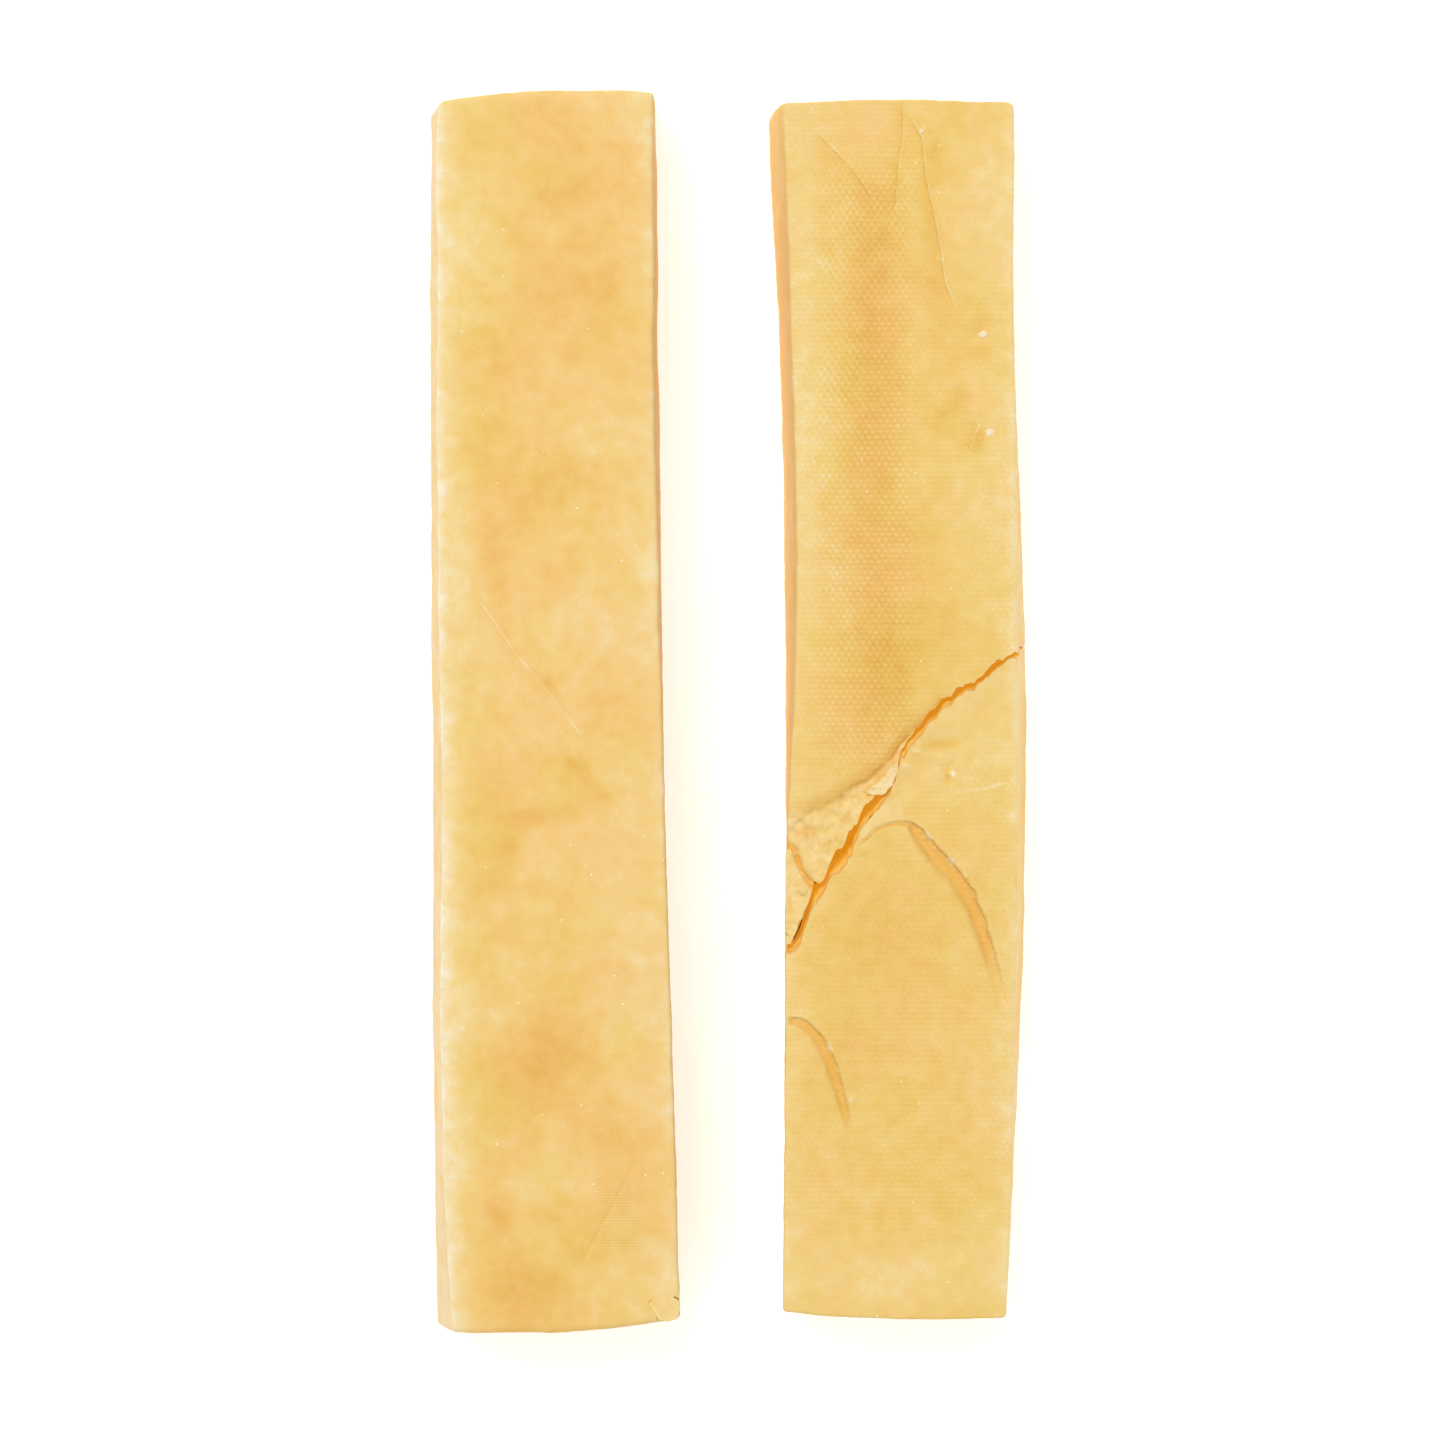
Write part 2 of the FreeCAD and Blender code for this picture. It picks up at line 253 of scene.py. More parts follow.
# Creases that the cloth's folds left in the face: path and depth. The face drops on the right of the path.
CREASES = (
    (((-10.1, 69.8), (-8.0, 67.7), (-5.9, 65.5), (-4.1, 63.0), (-2.4, 60.2)), 0.18),
    (((0.6, 73.5), (0.6, 68.6), (0.1, 65.6), (-0.3, 61.0), (-0.5, 58.5)), 0.26),
    (
        (
            (0.7, 72.3), (2.1, 70.2), (2.9, 68.7), (3.4, 63.8),
            (4.4, 59.3), (5.1, 55.6), (5.7, 51.4), (7.5, 46.6),
        ),
        0.26,
    ),
    (((9.8, 34.6), (9.0, 32.6), (8.4, 30.6)), 0.20),
    (((6.1, -9.9), (9.8, -9.5), (13.4, -8.6)), 0.02),
)
# Dents and rises: across, along, radius, depth or height.
PRINTED_DENTS = (
    (5.7, -6.8, 0.9, 0.30), (5.9, -8.4, 0.6, 0.34), (4.5, -4.2, 1.3, 0.30), (7.2, -3.8, 1.2, 0.14),
    (1.2, -8.6, 1.2, 0.18), (-11.6, -14.2, 1.0, 0.30), (-10.6, -15.6, 0.9, 0.22), (9.6, 44.6, 1.2, 0.16),
    (10.4, 33.6, 1.4, 0.16), (-13.0, 1.0, 1.4, 0.10),
)
PRINTED_RISES = (
    (-11.9, -12.9, 0.5, 0.28), (-13.0, -13.8, 0.5, 0.22), (-4.2, -16.9, 0.9, 0.16), (6.4, -7.6, 0.5, 0.20),
    (3.2, 70.0, 0.5, 0.14), (2.4, -19.0, 0.4, 0.08), (-5.6, -46.7, 0.35, 0.2), (2.4, 13.0, 0.5, 0.06),
    (5.3, 54.2, 0.5, 0.16), (2.2, -4.6, 0.9, 0.22), (1.0, -6.4, 0.7, 0.16), (2.6, -14.6, 0.35, 0.2),
    (3.2, -15.3, 0.35, 0.2), (4.4, -16.6, 0.3, 0.16),
)


def crack_line(x):
    """The crack's middle line at the face, as a function of across, and how steep it is."""
    y = np.interp(x, CRACK_X, CRACK_Y)
    steep = np.abs(np.interp(x, (CRACK_X[1:] + CRACK_X[:-1]) / 2, np.diff(CRACK_Y) / np.diff(CRACK_X)))
    ragged = 0.20 * bumps(x, 0 * x, 0.9, 5) + 0.12 * bumps(x, 0 * x, 0.35, 6)
    return y + ragged * np.minimum(1 + steep, 3.0), steep


def crack_wall(x, z, towards):
    """Where the broken face of the far (+1) or near (-1) half stands, at height z."""
    line, steep = crack_line(x)
    depth = np.clip(PRINTED.thickness - z, 0.0, None)
    mouth = MOUTH_SCALE * np.interp(x, CRACK_X, CRACK_WIDTH)
    open_share = 1.0 - step_up(0.0, CRACK_MOUTH_DEPTH, depth)
    width = CRACK_BASE_WIDTH + (mouth - CRACK_BASE_WIDTH) * open_share
    chipped = np.maximum(bumps(x, 0 * x + 9 * towards, 1.0, 7), 0.0) * 0.40 * (1.0 - step_up(0.0, 0.9, depth))
    rough = 0.5 * bumps(x, z, 3.1, 11) + 0.28 * np.abs(bumps(x, z, 1.4, 12)) + 0.12 * bumps(x, z, 0.5, 13)
    lean = CRACK_LEAN * CRACK_LEAN_DEPTH * (1.0 - np.exp(-depth / CRACK_LEAN_DEPTH))
    slant = np.minimum(np.sqrt(1 + steep**2), 2.2)
    return line + lean + rough * step_up(0.0, 1.6, depth) + towards * (width / 2 + chipped) * slant


def groove(x, y, path, depth, lip, lip_side=1):
    """A rounded groove along a path, fading at both ends, with a raised lip on one side."""
    away, side, share, width = near_path(x, y, path)
    fade = step_up(0.0, 0.06, share) * (1.0 - 0.8 * step_up(0.75, 1.0, share))
    wobble = 1.0 + 0.25 * bumps(x, y, 1.1, 21)
    reach = 0.5 * width * wobble + 0.05
    crisp = 1.0 - step_up(0.85 * reach, 0.85 * reach + 0.3, away)
    cut = np.where(side == lip_side, crisp, np.exp(-((away / reach) ** 3)))
    raised = bell(away - 0.75 * width - 0.2, 0.45) * (side == lip_side)
    return fade * np.minimum(width / 0.9, 1.0) * (lip * raised - depth * cut)


def spots(x, y, places):
    """Round dents, rises or spots of colour: the sum of their depths, heights or strengths."""
    total = np.zeros(np.shape(x))
    for across, along, radius, depth in places:
        total += depth * np.exp(-(((x - across) ** 2 + (y - along) ** 2) / radius**2))
    return total


def spall_edge(x):
    return np.interp(x, *np.array(SPALL_EDGE).T)


def spall(x, y):
    """1 in the spalled strip between the printed skin and the crack, 0 elsewhere."""
    edge = spall_edge(x) + 0.25 * bumps(x, y, 1.3, 31) + 0.1 * bumps(x, y, 0.5, 32)
    return step_up(-0.45, 0.45, edge - y)


def skin(x, y):
    """The slow rise and fall of the printed face."""
    slow = 0.10 * bumps(x, y, 17.0, 41) + 0.05 * bumps(x, y, 6.0, 42) + 0.02 * bumps(x, y, 2.0, 43)
    trough = -0.16 * bell(x + 3.6, 4.5) * step_up(-12.0, 4.0, y)
    return PRINTED.thickness - FACE_REST + slow + trough


def crease_height(x, y):
    """Each crease has a ridge along its path and a face that drops beside it."""
    total = np.zeros(np.shape(x))
    for path, depth in CREASES:
        away, side, share, _ = near_path(x, y, path)
        ends = window(share, 0.0, 0.15, 0.8, 1.0)
        ridge = 0.5 * depth * bell(away, 0.22)
        drop = depth * np.exp(-away / 1.6) * np.where(side > 0, 0.15, -1.0) * step_up(0.0, 0.25, away)
        total += ends * (ridge + drop)
    return total


def far_roof(x, y):
    """The top of the far half: printed skin, then the spalled strip along the crack."""
    edge = spall_edge(x)
    dip = -0.35 * np.exp(-np.maximum(y - edge, 0.0) / 1.5)
    strip = spall(x, y)
    line, _ = crack_line(x)
    to_crack = np.clip((y - line) / np.maximum(edge - line, 0.5), 0.0, 1.0)
    facets = 0.22 * np.abs(bumps(x, y, 1.9, 51)) + 0.20 * bumps(x, y, 0.9, 52) + 0.12 * bumps(x, y, 0.4, 53)
    floor = -0.75 + 0.34 * (1.0 - to_crack) + facets
    left_plate = 0.2 * step_up(-7.0, -10.0, x)
    branch = -0.5 * bell(near_path(x, y, Y_BRANCH)[0], 0.3)
    height = skin(x, y) + crease_height(x, y) + dip * (1.0 - strip) + (floor + left_plate) * strip + branch
    return height + spots(x, y, PRINTED_RISES) - spots(x, y, PRINTED_DENTS)


def near_roof(x, y):
    """The top of the near half: a bank stands proud along the crack, with the arch and the fold below it."""
    line, _ = crack_line(x)
    below = np.maximum(line - y, 0.0)
    proud = 0.26 * bell(below, 4.5) * step_up(-7.0, -3.0, x)
    lip = 0.12 * np.exp(-below / 0.5) * step_up(-6.0, 0.0, x)
    lip = lip - 0.25 * np.exp(-below / 0.35) * step_up(-3.0, -8.0, x)
    dx, dy = x - STAR[0], y - STAR[1]
    rays = np.cos(5 * np.arctan2(dy, dx) + 2.0 * bumps(x, y, 3.0, 63))
    star = (0.10 * rays - 0.12) * bell(np.hypot(dx, dy), 1.9)
    ripples = 0.09 * bumps(x, y, 2.4, 61) + 0.05 * bumps(x, y, 0.9, 62)
    conchoid = ripples * np.exp(-below / 5.0) * step_up(-7.0, -3.0, x) + star
    marks = groove(x, y, ARCH, 0.65, 0.14) + groove(x, y, FOLD, 0.42, 0.10)
    bumpy = spots(x, y, PRINTED_RISES) - spots(x, y, PRINTED_DENTS) + crease_height(x, y)
    return skin(x, y) + proud + lip + conchoid + marks + bumpy


# ---- closed meshes from outlines and heights


def flat_floor(x, y):
    return 0.05 * (1 + bumps(x, y, 7.0, 71))


def by_length(path_of, low, high, gap):
    """Shares between low and high that cut the curve y = path_of(x) into equal lengths."""
    x = np.linspace(low, high, 4000)
    length = np.concatenate([[0.0], np.cumsum(np.hypot(np.diff(x), np.diff(path_of(x))))])
    even = np.linspace(0.0, length[-1], int(length[-1] / gap))
    return (np.interp(even, length, x) - low) / (high - low)


def rounded(distance, radius):
    """How far an outline is drawn in at a distance from a corner of that radius."""
    inward = np.clip(radius - distance, 0.0, radius)
    return radius - np.sqrt(np.maximum(radius**2 - inward**2, 0.0))


def side_marks(along, z, seed):
    """How far a sawn side is drawn in, in millimetres: slow waves and fine saw lines."""
    slow = 0.10 * bumps(along, z, 9.0, seed) + 0.06 * bumps(along, z, 3.0, seed + 1)
    return 0.20 + slow + 0.03 * bumps(along, 0.2 * z, 0.7, seed + 2)


def bar_outline(bar, seed, near_cut=None, far_cut=None, gap=0.45, cut_gap=0.2):
    """outline(z, tuck) of a bar, or of its part beyond near_cut or before far_cut, functions of x and z.

    outline.cut says which places in the outline lie on the broken face.
    """
    corner = 1 - math.sqrt(0.5)
    cuts = (near_cut is not None, far_cut is not None)
    edges = (near_cut or bar.near, far_cut or bar.far)
    shares = []
    for is_cut in cuts:
        if is_cut:
            shares.append(by_length(lambda x: crack_line(x)[0], -13.8, 14.2, cut_gap))
        else:
            shares.append(np.linspace(0.0, 1.0, int(2 * bar.half_width / gap)))
    side_length = edges[1](0.0, bar.thickness) - edges[0](0.0, bar.thickness)
    side_shares = np.linspace(0.0, 1.0, int(side_length / gap))[1:-1]

    def outline(z, tuck):
        mix = z / bar.thickness
        rows, ends = [], []
        for k, (edge, is_cut) in enumerate(zip(edges, cuts)):
            inward = 1 if k == 0 else -1
            limits = []
            for side, sign in ((bar.left, 1), (bar.right, -1)):
                x = side(edge(0.0, z), mix) + sign * tuck
                for _ in range(6):
                    y = edge(x, z)
                    x = side(y, mix) + sign * (tuck + side_marks(y, z, seed + (sign < 0)))
                limits.append(float(x))
            radii = bar.corners(mix)[:2] if k == 0 else bar.corners(mix)[:1:-1]
            r_left, r_right = (0.0, 0.0) if is_cut else (max(r - tuck, 0.1) for r in radii)
            low, high = limits[0] + corner * r_left, limits[1] - corner * r_right
            x = low + (high - low) * shares[k]
            y = edge(x, z)
            if not is_cut:
                drawn = rounded(x - limits[0], r_left) + rounded(limits[1] - x, r_right)
                y = y + inward * (tuck + drawn + side_marks(x, z, seed + 4 + k))
            rows.append(np.c_[x, y])
            ends.append((r_left, r_right, y[0], y[-1]))
        sides = []
        for side, sign, column in ((bar.right, -1, 1), (bar.left, 1, 0)):
            y_near, y_far = ends[0][2 + column], ends[1][2 + column]
            y = y_near + (y_far - y_near) * side_shares
            r_near, r_far = ends[0][column], ends[1][column]
            drawn = rounded(y - y_near + corner * r_near, r_near) + rounded(y_far + corner * r_far - y, r_far)
            x = side(y, mix) + sign * (tuck + drawn + side_marks(y, z, seed + (sign < 0)))
            sides.append(np.c_[x, y])
        return np.concatenate([rows[0], sides[0], rows[1][::-1], sides[1][::-1]])

    start = 0 if cuts[0] else len(shares[0]) + len(side_shares)
    outline.cut = (start, start + len(shares[0 if cuts[0] else 1]))
    return outline


def within(points, loop):
    """True for the points inside a closed loop."""
    result = np.zeros(len(points), bool)
    ax, ay = loop.T
    bx, by = np.roll(loop, -1, axis=0).T
    slope = (bx - ax) / np.where(np.abs(by - ay) < 1e-12, 1e-12, by - ay)
    for start in range(0, len(points), 3000):
        x, y = points[start : start + 3000, :1], points[start : start + 3000, 1:]
        crosses = (ay > y) != (by > y)
        result[start : start + 3000] = (crosses & (x < ax + (y - ay) * slope)).sum(1) % 2 == 1
    return result


def grid(low, high, gap, row_gap):
    """Points in rows over a box, on the same lattice wherever the box is."""
    columns = np.arange(math.floor(low[0] / gap), math.ceil(high[0] / gap) + 1) * gap
    rows = np.arange(math.floor(low[1] / row_gap), math.ceil(high[1] / row_gap) + 1) * row_gap
    x, y = np.meshgrid(columns, rows)
    return np.c_[x.ravel(), y.ravel()]


def filled(loop, gap, row_gap, zones):
    """Points inside a loop: a grid of that gap, and a finer one in each zone (path, reach, finer gap)."""
    points = grid(loop.min(0), loop.max(0), gap, row_gap)
    kept = []
    free = np.ones(len(points), bool)
    claimed = []
    for path, reach, fine in zones:
        ends = np.array([p[:2] for p in path])
        closer = grid(ends.min(0) - reach, ends.max(0) + reach, fine, fine)
        closer = closer + 0.15 * fine * np.sin(closer[:, ::-1] * 7.0 / fine)
        taken = near_path(*closer.T, path)[0] < reach
        for other, other_reach in claimed:
            taken &= near_path(*closer.T, other)[0] >= other_reach
        kept.append(closer[taken])
        claimed.append((path, reach))
        free &= near_path(*points.T, path)[0] >= reach
    points = np.concatenate([points[free], *kept])
    points = points[within(points, loop)]
    tree = kdtree.KDTree(len(loop))
    for i, p in enumerate(loop):
        tree.insert((p[0], p[1], 0.0), i)
    tree.balance()
    reach = 0.5 * np.hypot(*(np.roll(loop, -1, axis=0) - loop).T)
    reach = np.maximum(reach, np.roll(reach, 1))
    clear = []
    for p in points:
        _, i, away = tree.find((p[0], p[1], 0.0))
        clear.append(away > 1.05 * reach[i])
    return points[np.array(clear, bool)]


def cap(loop, interior):
    """Triangles over a loop and the points inside it, as indexes into the loop and then the points."""
    count = len(loop)
    both = np.concatenate([loop, interior])
    borders = [(i, (i + 1) % count) for i in range(count)]
    made = delaunay_2d_cdt([Vector(p) for p in both], borders, [], 0, 1e-7, True)
    if len(made[0]) != len(both):
        raise ValueError("an outline crosses itself")
    original = np.array([ids[0] for ids in made[3]])
    faces = original[np.array(made[2])]
    on_loop = (faces < count).all(1)
    kept = ~on_loop
    kept[on_loop] = within(both[faces[on_loop]].mean(1), loop)
    return faces[kept].tolist()


def slab(outline, roof, floor, span, rim, gap, row_gap, zones=(), levels=26, base_gap=1.6):
    """A closed mesh between a floor and a roof inside an outline, with rounded rims.

    Returns vertices, faces and each vertex's place in its ring, or -1 away from the walls.
    """
    start, end = span
    bends = [(rim * (1 - math.cos(a)), rim * (1 - math.sin(a))) for a in np.linspace(0, math.pi / 2, 4)]
    rings = [("floor", rise, tuck, start + rise) for rise, tuck in bends]
    for share in np.linspace(0.0, 1.0, levels)[1:-1] ** 0.7:
        rings.append(("between", share, 0.0, start + rim + (end - start - 2 * rim) * share))
    rings += [("roof", rise, tuck, end - rise) for rise, tuck in bends[::-1]]
    loops = []
    for kind, value, tuck, height in rings:
        x, y = outline(height, tuck).T
        low, high = floor(x, y), roof(x, y)
        between = low + rim + (high - low - 2 * rim) * value
        heights = {"floor": low + value, "roof": high - value, "between": between}
        loops.append(np.c_[x, y, heights[kind]])
    count, levels = len(loops[0]), len(loops)
    ahead = np.roll(np.arange(count), -1)
    faces = []
    for ring in range(levels - 1):
        a, b = ring * count, (ring + 1) * count
        faces += np.c_[a + np.arange(count), a + ahead, b + ahead, b + np.arange(count)].tolist()
    base = filled(loops[0][:, :2], base_gap, base_gap, ())
    face = filled(loops[-1][:, :2], gap, row_gap, zones)
    total, last = count * levels, count * (levels - 1)
    for triangle in cap(loops[0][:, :2], base):
        faces.append([i if i < count else total + i - count for i in triangle][::-1])
    for triangle in cap(loops[-1][:, :2], face):
        faces.append([last + i if i < count else total + len(base) + i - count for i in triangle])
    vertices = [*loops, np.c_[base, floor(*base.T)], np.c_[face, roof(*face.T)]]
    place = np.concatenate([np.tile(np.arange(count), levels), np.full(len(base) + len(face), -1)])
    return np.concatenate(vertices), faces, place


def in_scene(name, data):
    item = bpy.data.objects.new(name, data)
    bpy.context.scene.collection.objects.link(item)
    return item


def make(name, bar, vertices, faces, body, nodes, slot, material, fields, sharp=40.0):
    """Turns a slab in a bar's own millimetres into an object that rides on a body and replaces CAD nodes."""
    places = vertices.copy()
    places[:, :2] += bar.centre
    mesh = bpy.data.meshes.new(name)
    mesh.from_pydata((places * MM).tolist(), [], faces)
    mesh.validate()
    mesh.shade_smooth()
    mesh.set_sharp_from_angle(angle=math.radians(sharp))
    for field, values in fields.items():
        attribute = mesh.attributes.new(field, "FLOAT", "POINT")
        attribute.data.foreach_set("value", np.asarray(values, np.float32))
    mesh.materials.append(material)
    piece = in_scene(name, mesh)
    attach(piece, body)
    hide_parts(*nodes)


# ---- flakes, each in a pocket of its bar


def resampled(corners, gap, seed, ragged=0.05):
    """A closed path through the corners, cut into steps of about that gap, slightly ragged."""
    corners = np.array(corners, float)
    closed = np.concatenate([corners, corners[:1]])
    length = np.concatenate([[0.0], np.cumsum(np.hypot(*np.diff(closed, axis=0).T))])
    at = np.linspace(0.0, length[-1], int(length[-1] / gap), endpoint=False)
    path = np.c_[np.interp(at, length, closed[:, 0]), np.interp(at, length, closed[:, 1])]
    path = path + ragged * np.c_[bumps(at, 0 * at, 0.6, seed), bumps(at, 0 * at, 0.6, seed + 1)]
    for _ in range(4):
        path = (np.roll(path, 1, axis=0) + 2 * path + np.roll(path, -1, axis=0)) / 4
    return path


def signed(x, y, loop):
    """Distance to a closed loop, positive inside it."""
    x, y = np.asarray(x, float), np.asarray(y, float)
    distance = np.full(x.shape, -9.0)
    low, high = loop.min(0) - 1.0, loop.max(0) + 1.0
    close = (x > low[0]) & (x < high[0]) & (y > low[1]) & (y < high[1])
    if close.any():
        px, py = x[close], y[close]
        away = near_path(px, py, [*loop, loop[0]])[0]
        distance[close] = np.where(within(np.c_[px, py], loop), away, -away)
    return distance


def pocket(x, y, loop, depth):
    """How far a face is lowered for a flake of that depth, which lies inside the loop."""
    return (depth + 0.12) * step_up(0.12, 0.24, signed(x, y, loop))


def flake_outline(loop, bar, towards_side):
    """outline(z, tuck) of a flake: its loop, drawn in by the tuck, leaning with the bar's side beside it."""
    x, y = loop.T
    if np.sum(x * np.roll(y, -1) - np.roll(x, -1) * y) < 0:
        loop = loop[::-1]
    ahead = np.roll(loop, -2, axis=0) - np.roll(loop, 2, axis=0)
    normal = np.c_[-ahead[:, 1], ahead[:, 0]] / np.hypot(*ahead.T)[:, None]
    side = bar.left if towards_side < 0 else bar.right
    on_side = np.clip(1.0 - np.abs(loop[:, 0] - side(loop[:, 1], 1.0)) / 1.5, 0.0, 1.0) * (towards_side != 0)

    def outline(z, tuck):
        y = loop[:, 1]
        lean = on_side * (side(y, z / bar.thickness) - side(y, 1.0))
        rough = 0.05 * bumps(loop[:, 0] + y, z + 0 * y, 1.2, 81)
        path = loop + normal * (tuck + rough)[:, None]
        path[:, 0] += lean
        return path

    return outline


# ---- the faces of the two bars

SMOOTH_SCRATCH = ((-9.4, 13.9, 0.5), (-7.7, 11.6, 0.5), (-4.5, 6.9, 0.35), (-0.2, 1.9, 0.3), (3.0, -2.5, 0.3))
SMOOTH_GROOVES = (
    (SMOOTH_SCRATCH, 0.34, 0.24),
    (((0.1, -1.0, 0.5), (3.0, -5.6, 0.5), (6.1, -10.6, 0.4)), 0.15, 0.04),
    (((-2.5, 31.6, 0.25), (-0.2, 29.8, 0.25)), 0.36, 0.10),
    (((10.0, -53.8, 0.2), (6.5, -60.5, 0.2), (3.1, -67.0, 0.2)), 0.45, 0.0),
)
SMOOTH_DENTS = (
    (-13.0, -7.6, 0.6, 0.35), (-12.8, -20.1, 0.5, 0.25), (12.9, -7.6, 0.5, 0.25), (-2.5, -11.8, 3.5, 0.05),
    (4.2, -65.2, 0.5, 0.08),
)
# Cloudy patches of a face: across, along, half widths, turn in degrees, and how much paler (+) or deeper (-).
SMOOTH_PATCHES = (
    (-1.1, 68.6, 5.0, 6.0, 0, -0.16), (1.9, 62.0, 6.0, 2.6, 10, -0.20), (4.3, 51.0, 4.5, 1.8, 20, -0.16),
    (-8.9, 33.0, 2.6, 3.4, -30, -0.20), (-1.7, 26.6, 5.0, 4.0, 0, -0.12), (-7.1, 18.0, 1.6, 6.5, 8, -0.20),
    (0.2, 2.2, 0.5, 3.0, 34, -0.16), (3.5, -7.6, 0.9, 4.0, 46, -0.22), (-1.5, -12.6, 5.2, 1.3, 5, -0.18),
    (-5.4, -15.6, 1.2, 3.0, -20, -0.16), (-1.7, -40.6, 5.5, 5.0, 20, -0.2), (-8.9, -43.0, 3.0, 3.4, 0, -0.12),
    (5.5, -50.0, 4.0, 4.0, 0, -0.12), (-6.5, -60.4, 1.3, 3.2, 20, -0.20), (-4.1, -68.8, 5.0, 3.4, -15, -0.20),
    (5.5, 35.0, 5.0, 6.0, 0, 0.12), (1.9, 8.6, 6.0, 6.0, 0, 0.10), (7.9, -22.6, 4.0, 8.0, 0, 0.08),
    (-9.0, 58.0, 3.0, 7.0, 0, 0.08),
)
PRINTED_PATCHES = (
    (-3.4, 55.0, 3.0, 9.0, -2, -0.26), (-3.0, 40.0, 3.6, 11.0, -4, -0.26), (-2.6, 20.0, 3.8, 14.0, 3, -0.28),
    (-1.9, 2.0, 4.2, 10.0, 0, -0.28), (9.4, 46.0, 1.6, 1.0, 0, -0.14), (9.6, 43.2, 1.5, 0.9, 0, -0.16),
    (9.6, 32.4, 1.0, 1.8, -20, -0.20), (5.0, 35.0, 1.2, 1.6, 0, -0.16), (7.0, 37.0, 2.6, 1.2, 20, -0.12),
    (4.4, 66.0, 1.2, 4.0, 0, -0.10), (1.8, 62.0, 1.2, 8.0, 4, 0.05), (-11.0, 40.0, 2.2, 30.0, 0, 0.08),
    (2.4, 20.0, 2.6, 5.0, 0, -0.12), (-8.5, 0.0, 4.0, 8.0, 0, -0.08), (5.5, 46.0, 2.0, 7.0, 12, -0.10),
    (4.4, 10.0, 3.0, 5.0, 0, -0.10), (-2.0, -30.0, 8.0, 12.0, 0, -0.14), (-9.0, -44.0, 3.0, 6.0, 0, -0.10),
    (10.0, 26.0, 4.0, 12.0, 0, 0.10), (10.0, 60.0, 4.0, 9.0, 0, 0.10), (0.0, -68.0, 14.0, 4.0, 0, 0.14),
    (8.0, -6.0, 6.0, 6.0, 30, 0.10), (5.2, -4.1, 2.4, 0.7, 8, -0.26), (5.9, -8.0, 0.35, 1.2, 0, -0.26),
)


def patches(x, y, places):
    total = np.zeros(np.shape(x))
    for across, along, wide, high, turn, strength in places:
        c, s = math.cos(math.radians(turn)), math.sin(math.radians(turn))
        u = ((x - across) * c + (y - along) * s) / wide
        v = ((y - along) * c - (x - across) * s) / high
        total += strength * np.exp(-(u * u + v * v) ** 1.3)
    return total


def clouds(x, y, seed):
    """The cloudy mottling of pressed curd, about -1 to 1."""
    warp_x = 2.0 * bumps(x, y, 6.0, seed) + 0.7 * bumps(x, y, 2.2, seed + 1)
    warp_y = 2.0 * bumps(x, y, 6.0, seed + 2) + 0.7 * bumps(x, y, 2.2, seed + 3)
    u, v = x + warp_x, y + warp_y
    coarse = 0.4 * bumps(u, v, 9.0, seed + 4) + 0.3 * bumps(u, v, 3.6, seed + 5)
    return 0.55 * np.tanh(2.4 * coarse) + 0.25 * bumps(u, v, 1.5, seed + 6)


def smooth_tone(x, y):
    """Colour of the smooth bar, from 0, deep orange, to 1, the pale rim of painted light."""
    from_left = x - SMOOTH.left(y, 1.0)
    from_right = SMOOTH.right(y, 1.0) - x
    # painted light: paler towards both sides, where light scatters out of the curd near the edges
    rim = 0.40 * np.exp(-((np.maximum(from_left, 0) / 2.6) ** 1.4))
    rim = rim + 0.26 * np.exp(-np.maximum(from_right, 0) / 2.2)
    worn = 0.16 + 0.14 * bumps(x, y, 1.5, 213)
    scratch = worn * bell(near_path(x, y, SMOOTH_SCRATCH)[0], 0.16)
    cloudy = 0.24 * clouds(x, y, 201) * step_up(-1.0, 4.0, from_left)
    return scratch + 0.55 + cloudy + patches(x, y, SMOOTH_PATCHES) + rim


def printed_tone(x, y):
    """Colour of the printed bar, on the same scale."""
    from_left = x - PRINTED.left(y, 1.0)
    from_right = PRINTED.right(y, 1.0) - x
    # painted light: paler towards both sides, where light scatters out of the curd near the edges
    rim = 0.16 * np.exp(-np.maximum(from_left, 0) / 2.5) + 0.30 * np.exp(-np.maximum(from_right, 0) / 1.6)
    return 0.56 + 0.12 * clouds(x, y, 301) + patches(x, y, PRINTED_PATCHES) + rim


def crease_light_and_shade(x, y):
    """Painted light and shade of each crease: a painted highlight along its edge and painted shade on the
    side where the face drops.
    """
    total = np.zeros(np.shape(x))
    for path, depth in CREASES:
        away, side, share, _ = near_path(x, y, path)
        ends = window(share, 0.0, 0.1, 0.85, 1.0)
        broken = 0.55 + 0.6 * bumps(x, y, 1.3, 95)
        line = 0.32 * broken * bell(away, 0.15)
        total += ends * (line - 0.8 * depth * np.exp(-away / 1.4) * (side < 0))
    return total


def smooth_yellow(x, y):
    """How yellow, rather than peach, the smooth bar is: more along its left side and in a few clouds."""
    left = step_up(-4.0, -12.0, x + 1.5 * bumps(x, y, 7.0, 211))
    return np.clip(0.25 + 0.55 * left + 0.45 * bumps(x, y, 8.0, 212), 0.0, 1.0)


def printed_yellow(x, y):
    """The same for the printed bar: less yellow along its orange band."""
    band = bell(x + 3.0, 3.5) * step_up(-12.0, -4.0, y)
    return np.clip(0.75 - 0.45 * band + 0.35 * bumps(x, y, 8.0, 312), 0.0, 1.0)


def print_strength(x, y):
    """How clearly the pressing cloth is printed into the face, 0 to 1."""
    band = window(x, -10.8, -7.5, 0.0, 3.0) * window(y, -9.0, -3.0, 60.0, 70.0)
    strength = (0.25 + 0.75 * band) * step_up(-68.0, -58.0, y)
    strength *= 1.0 - 0.8 * step_up(2.0, 6.0, x) * step_up(48.0, 62.0, y)
    line, _ = crack_line(x)
    below = line - y
    bank = step_up(-7.0, -2.0, x) * window(below, -0.5, 0.2, 5.0, 10.0)
    return strength * (1.0 - bank)


# The cloth's print: how far apart its rows and the dimples in a row are, and how high it stands.
ROW_PITCH = 0.65
DIMPLE_PITCH = 0.84
WEAVE_HEIGHT = 0.05


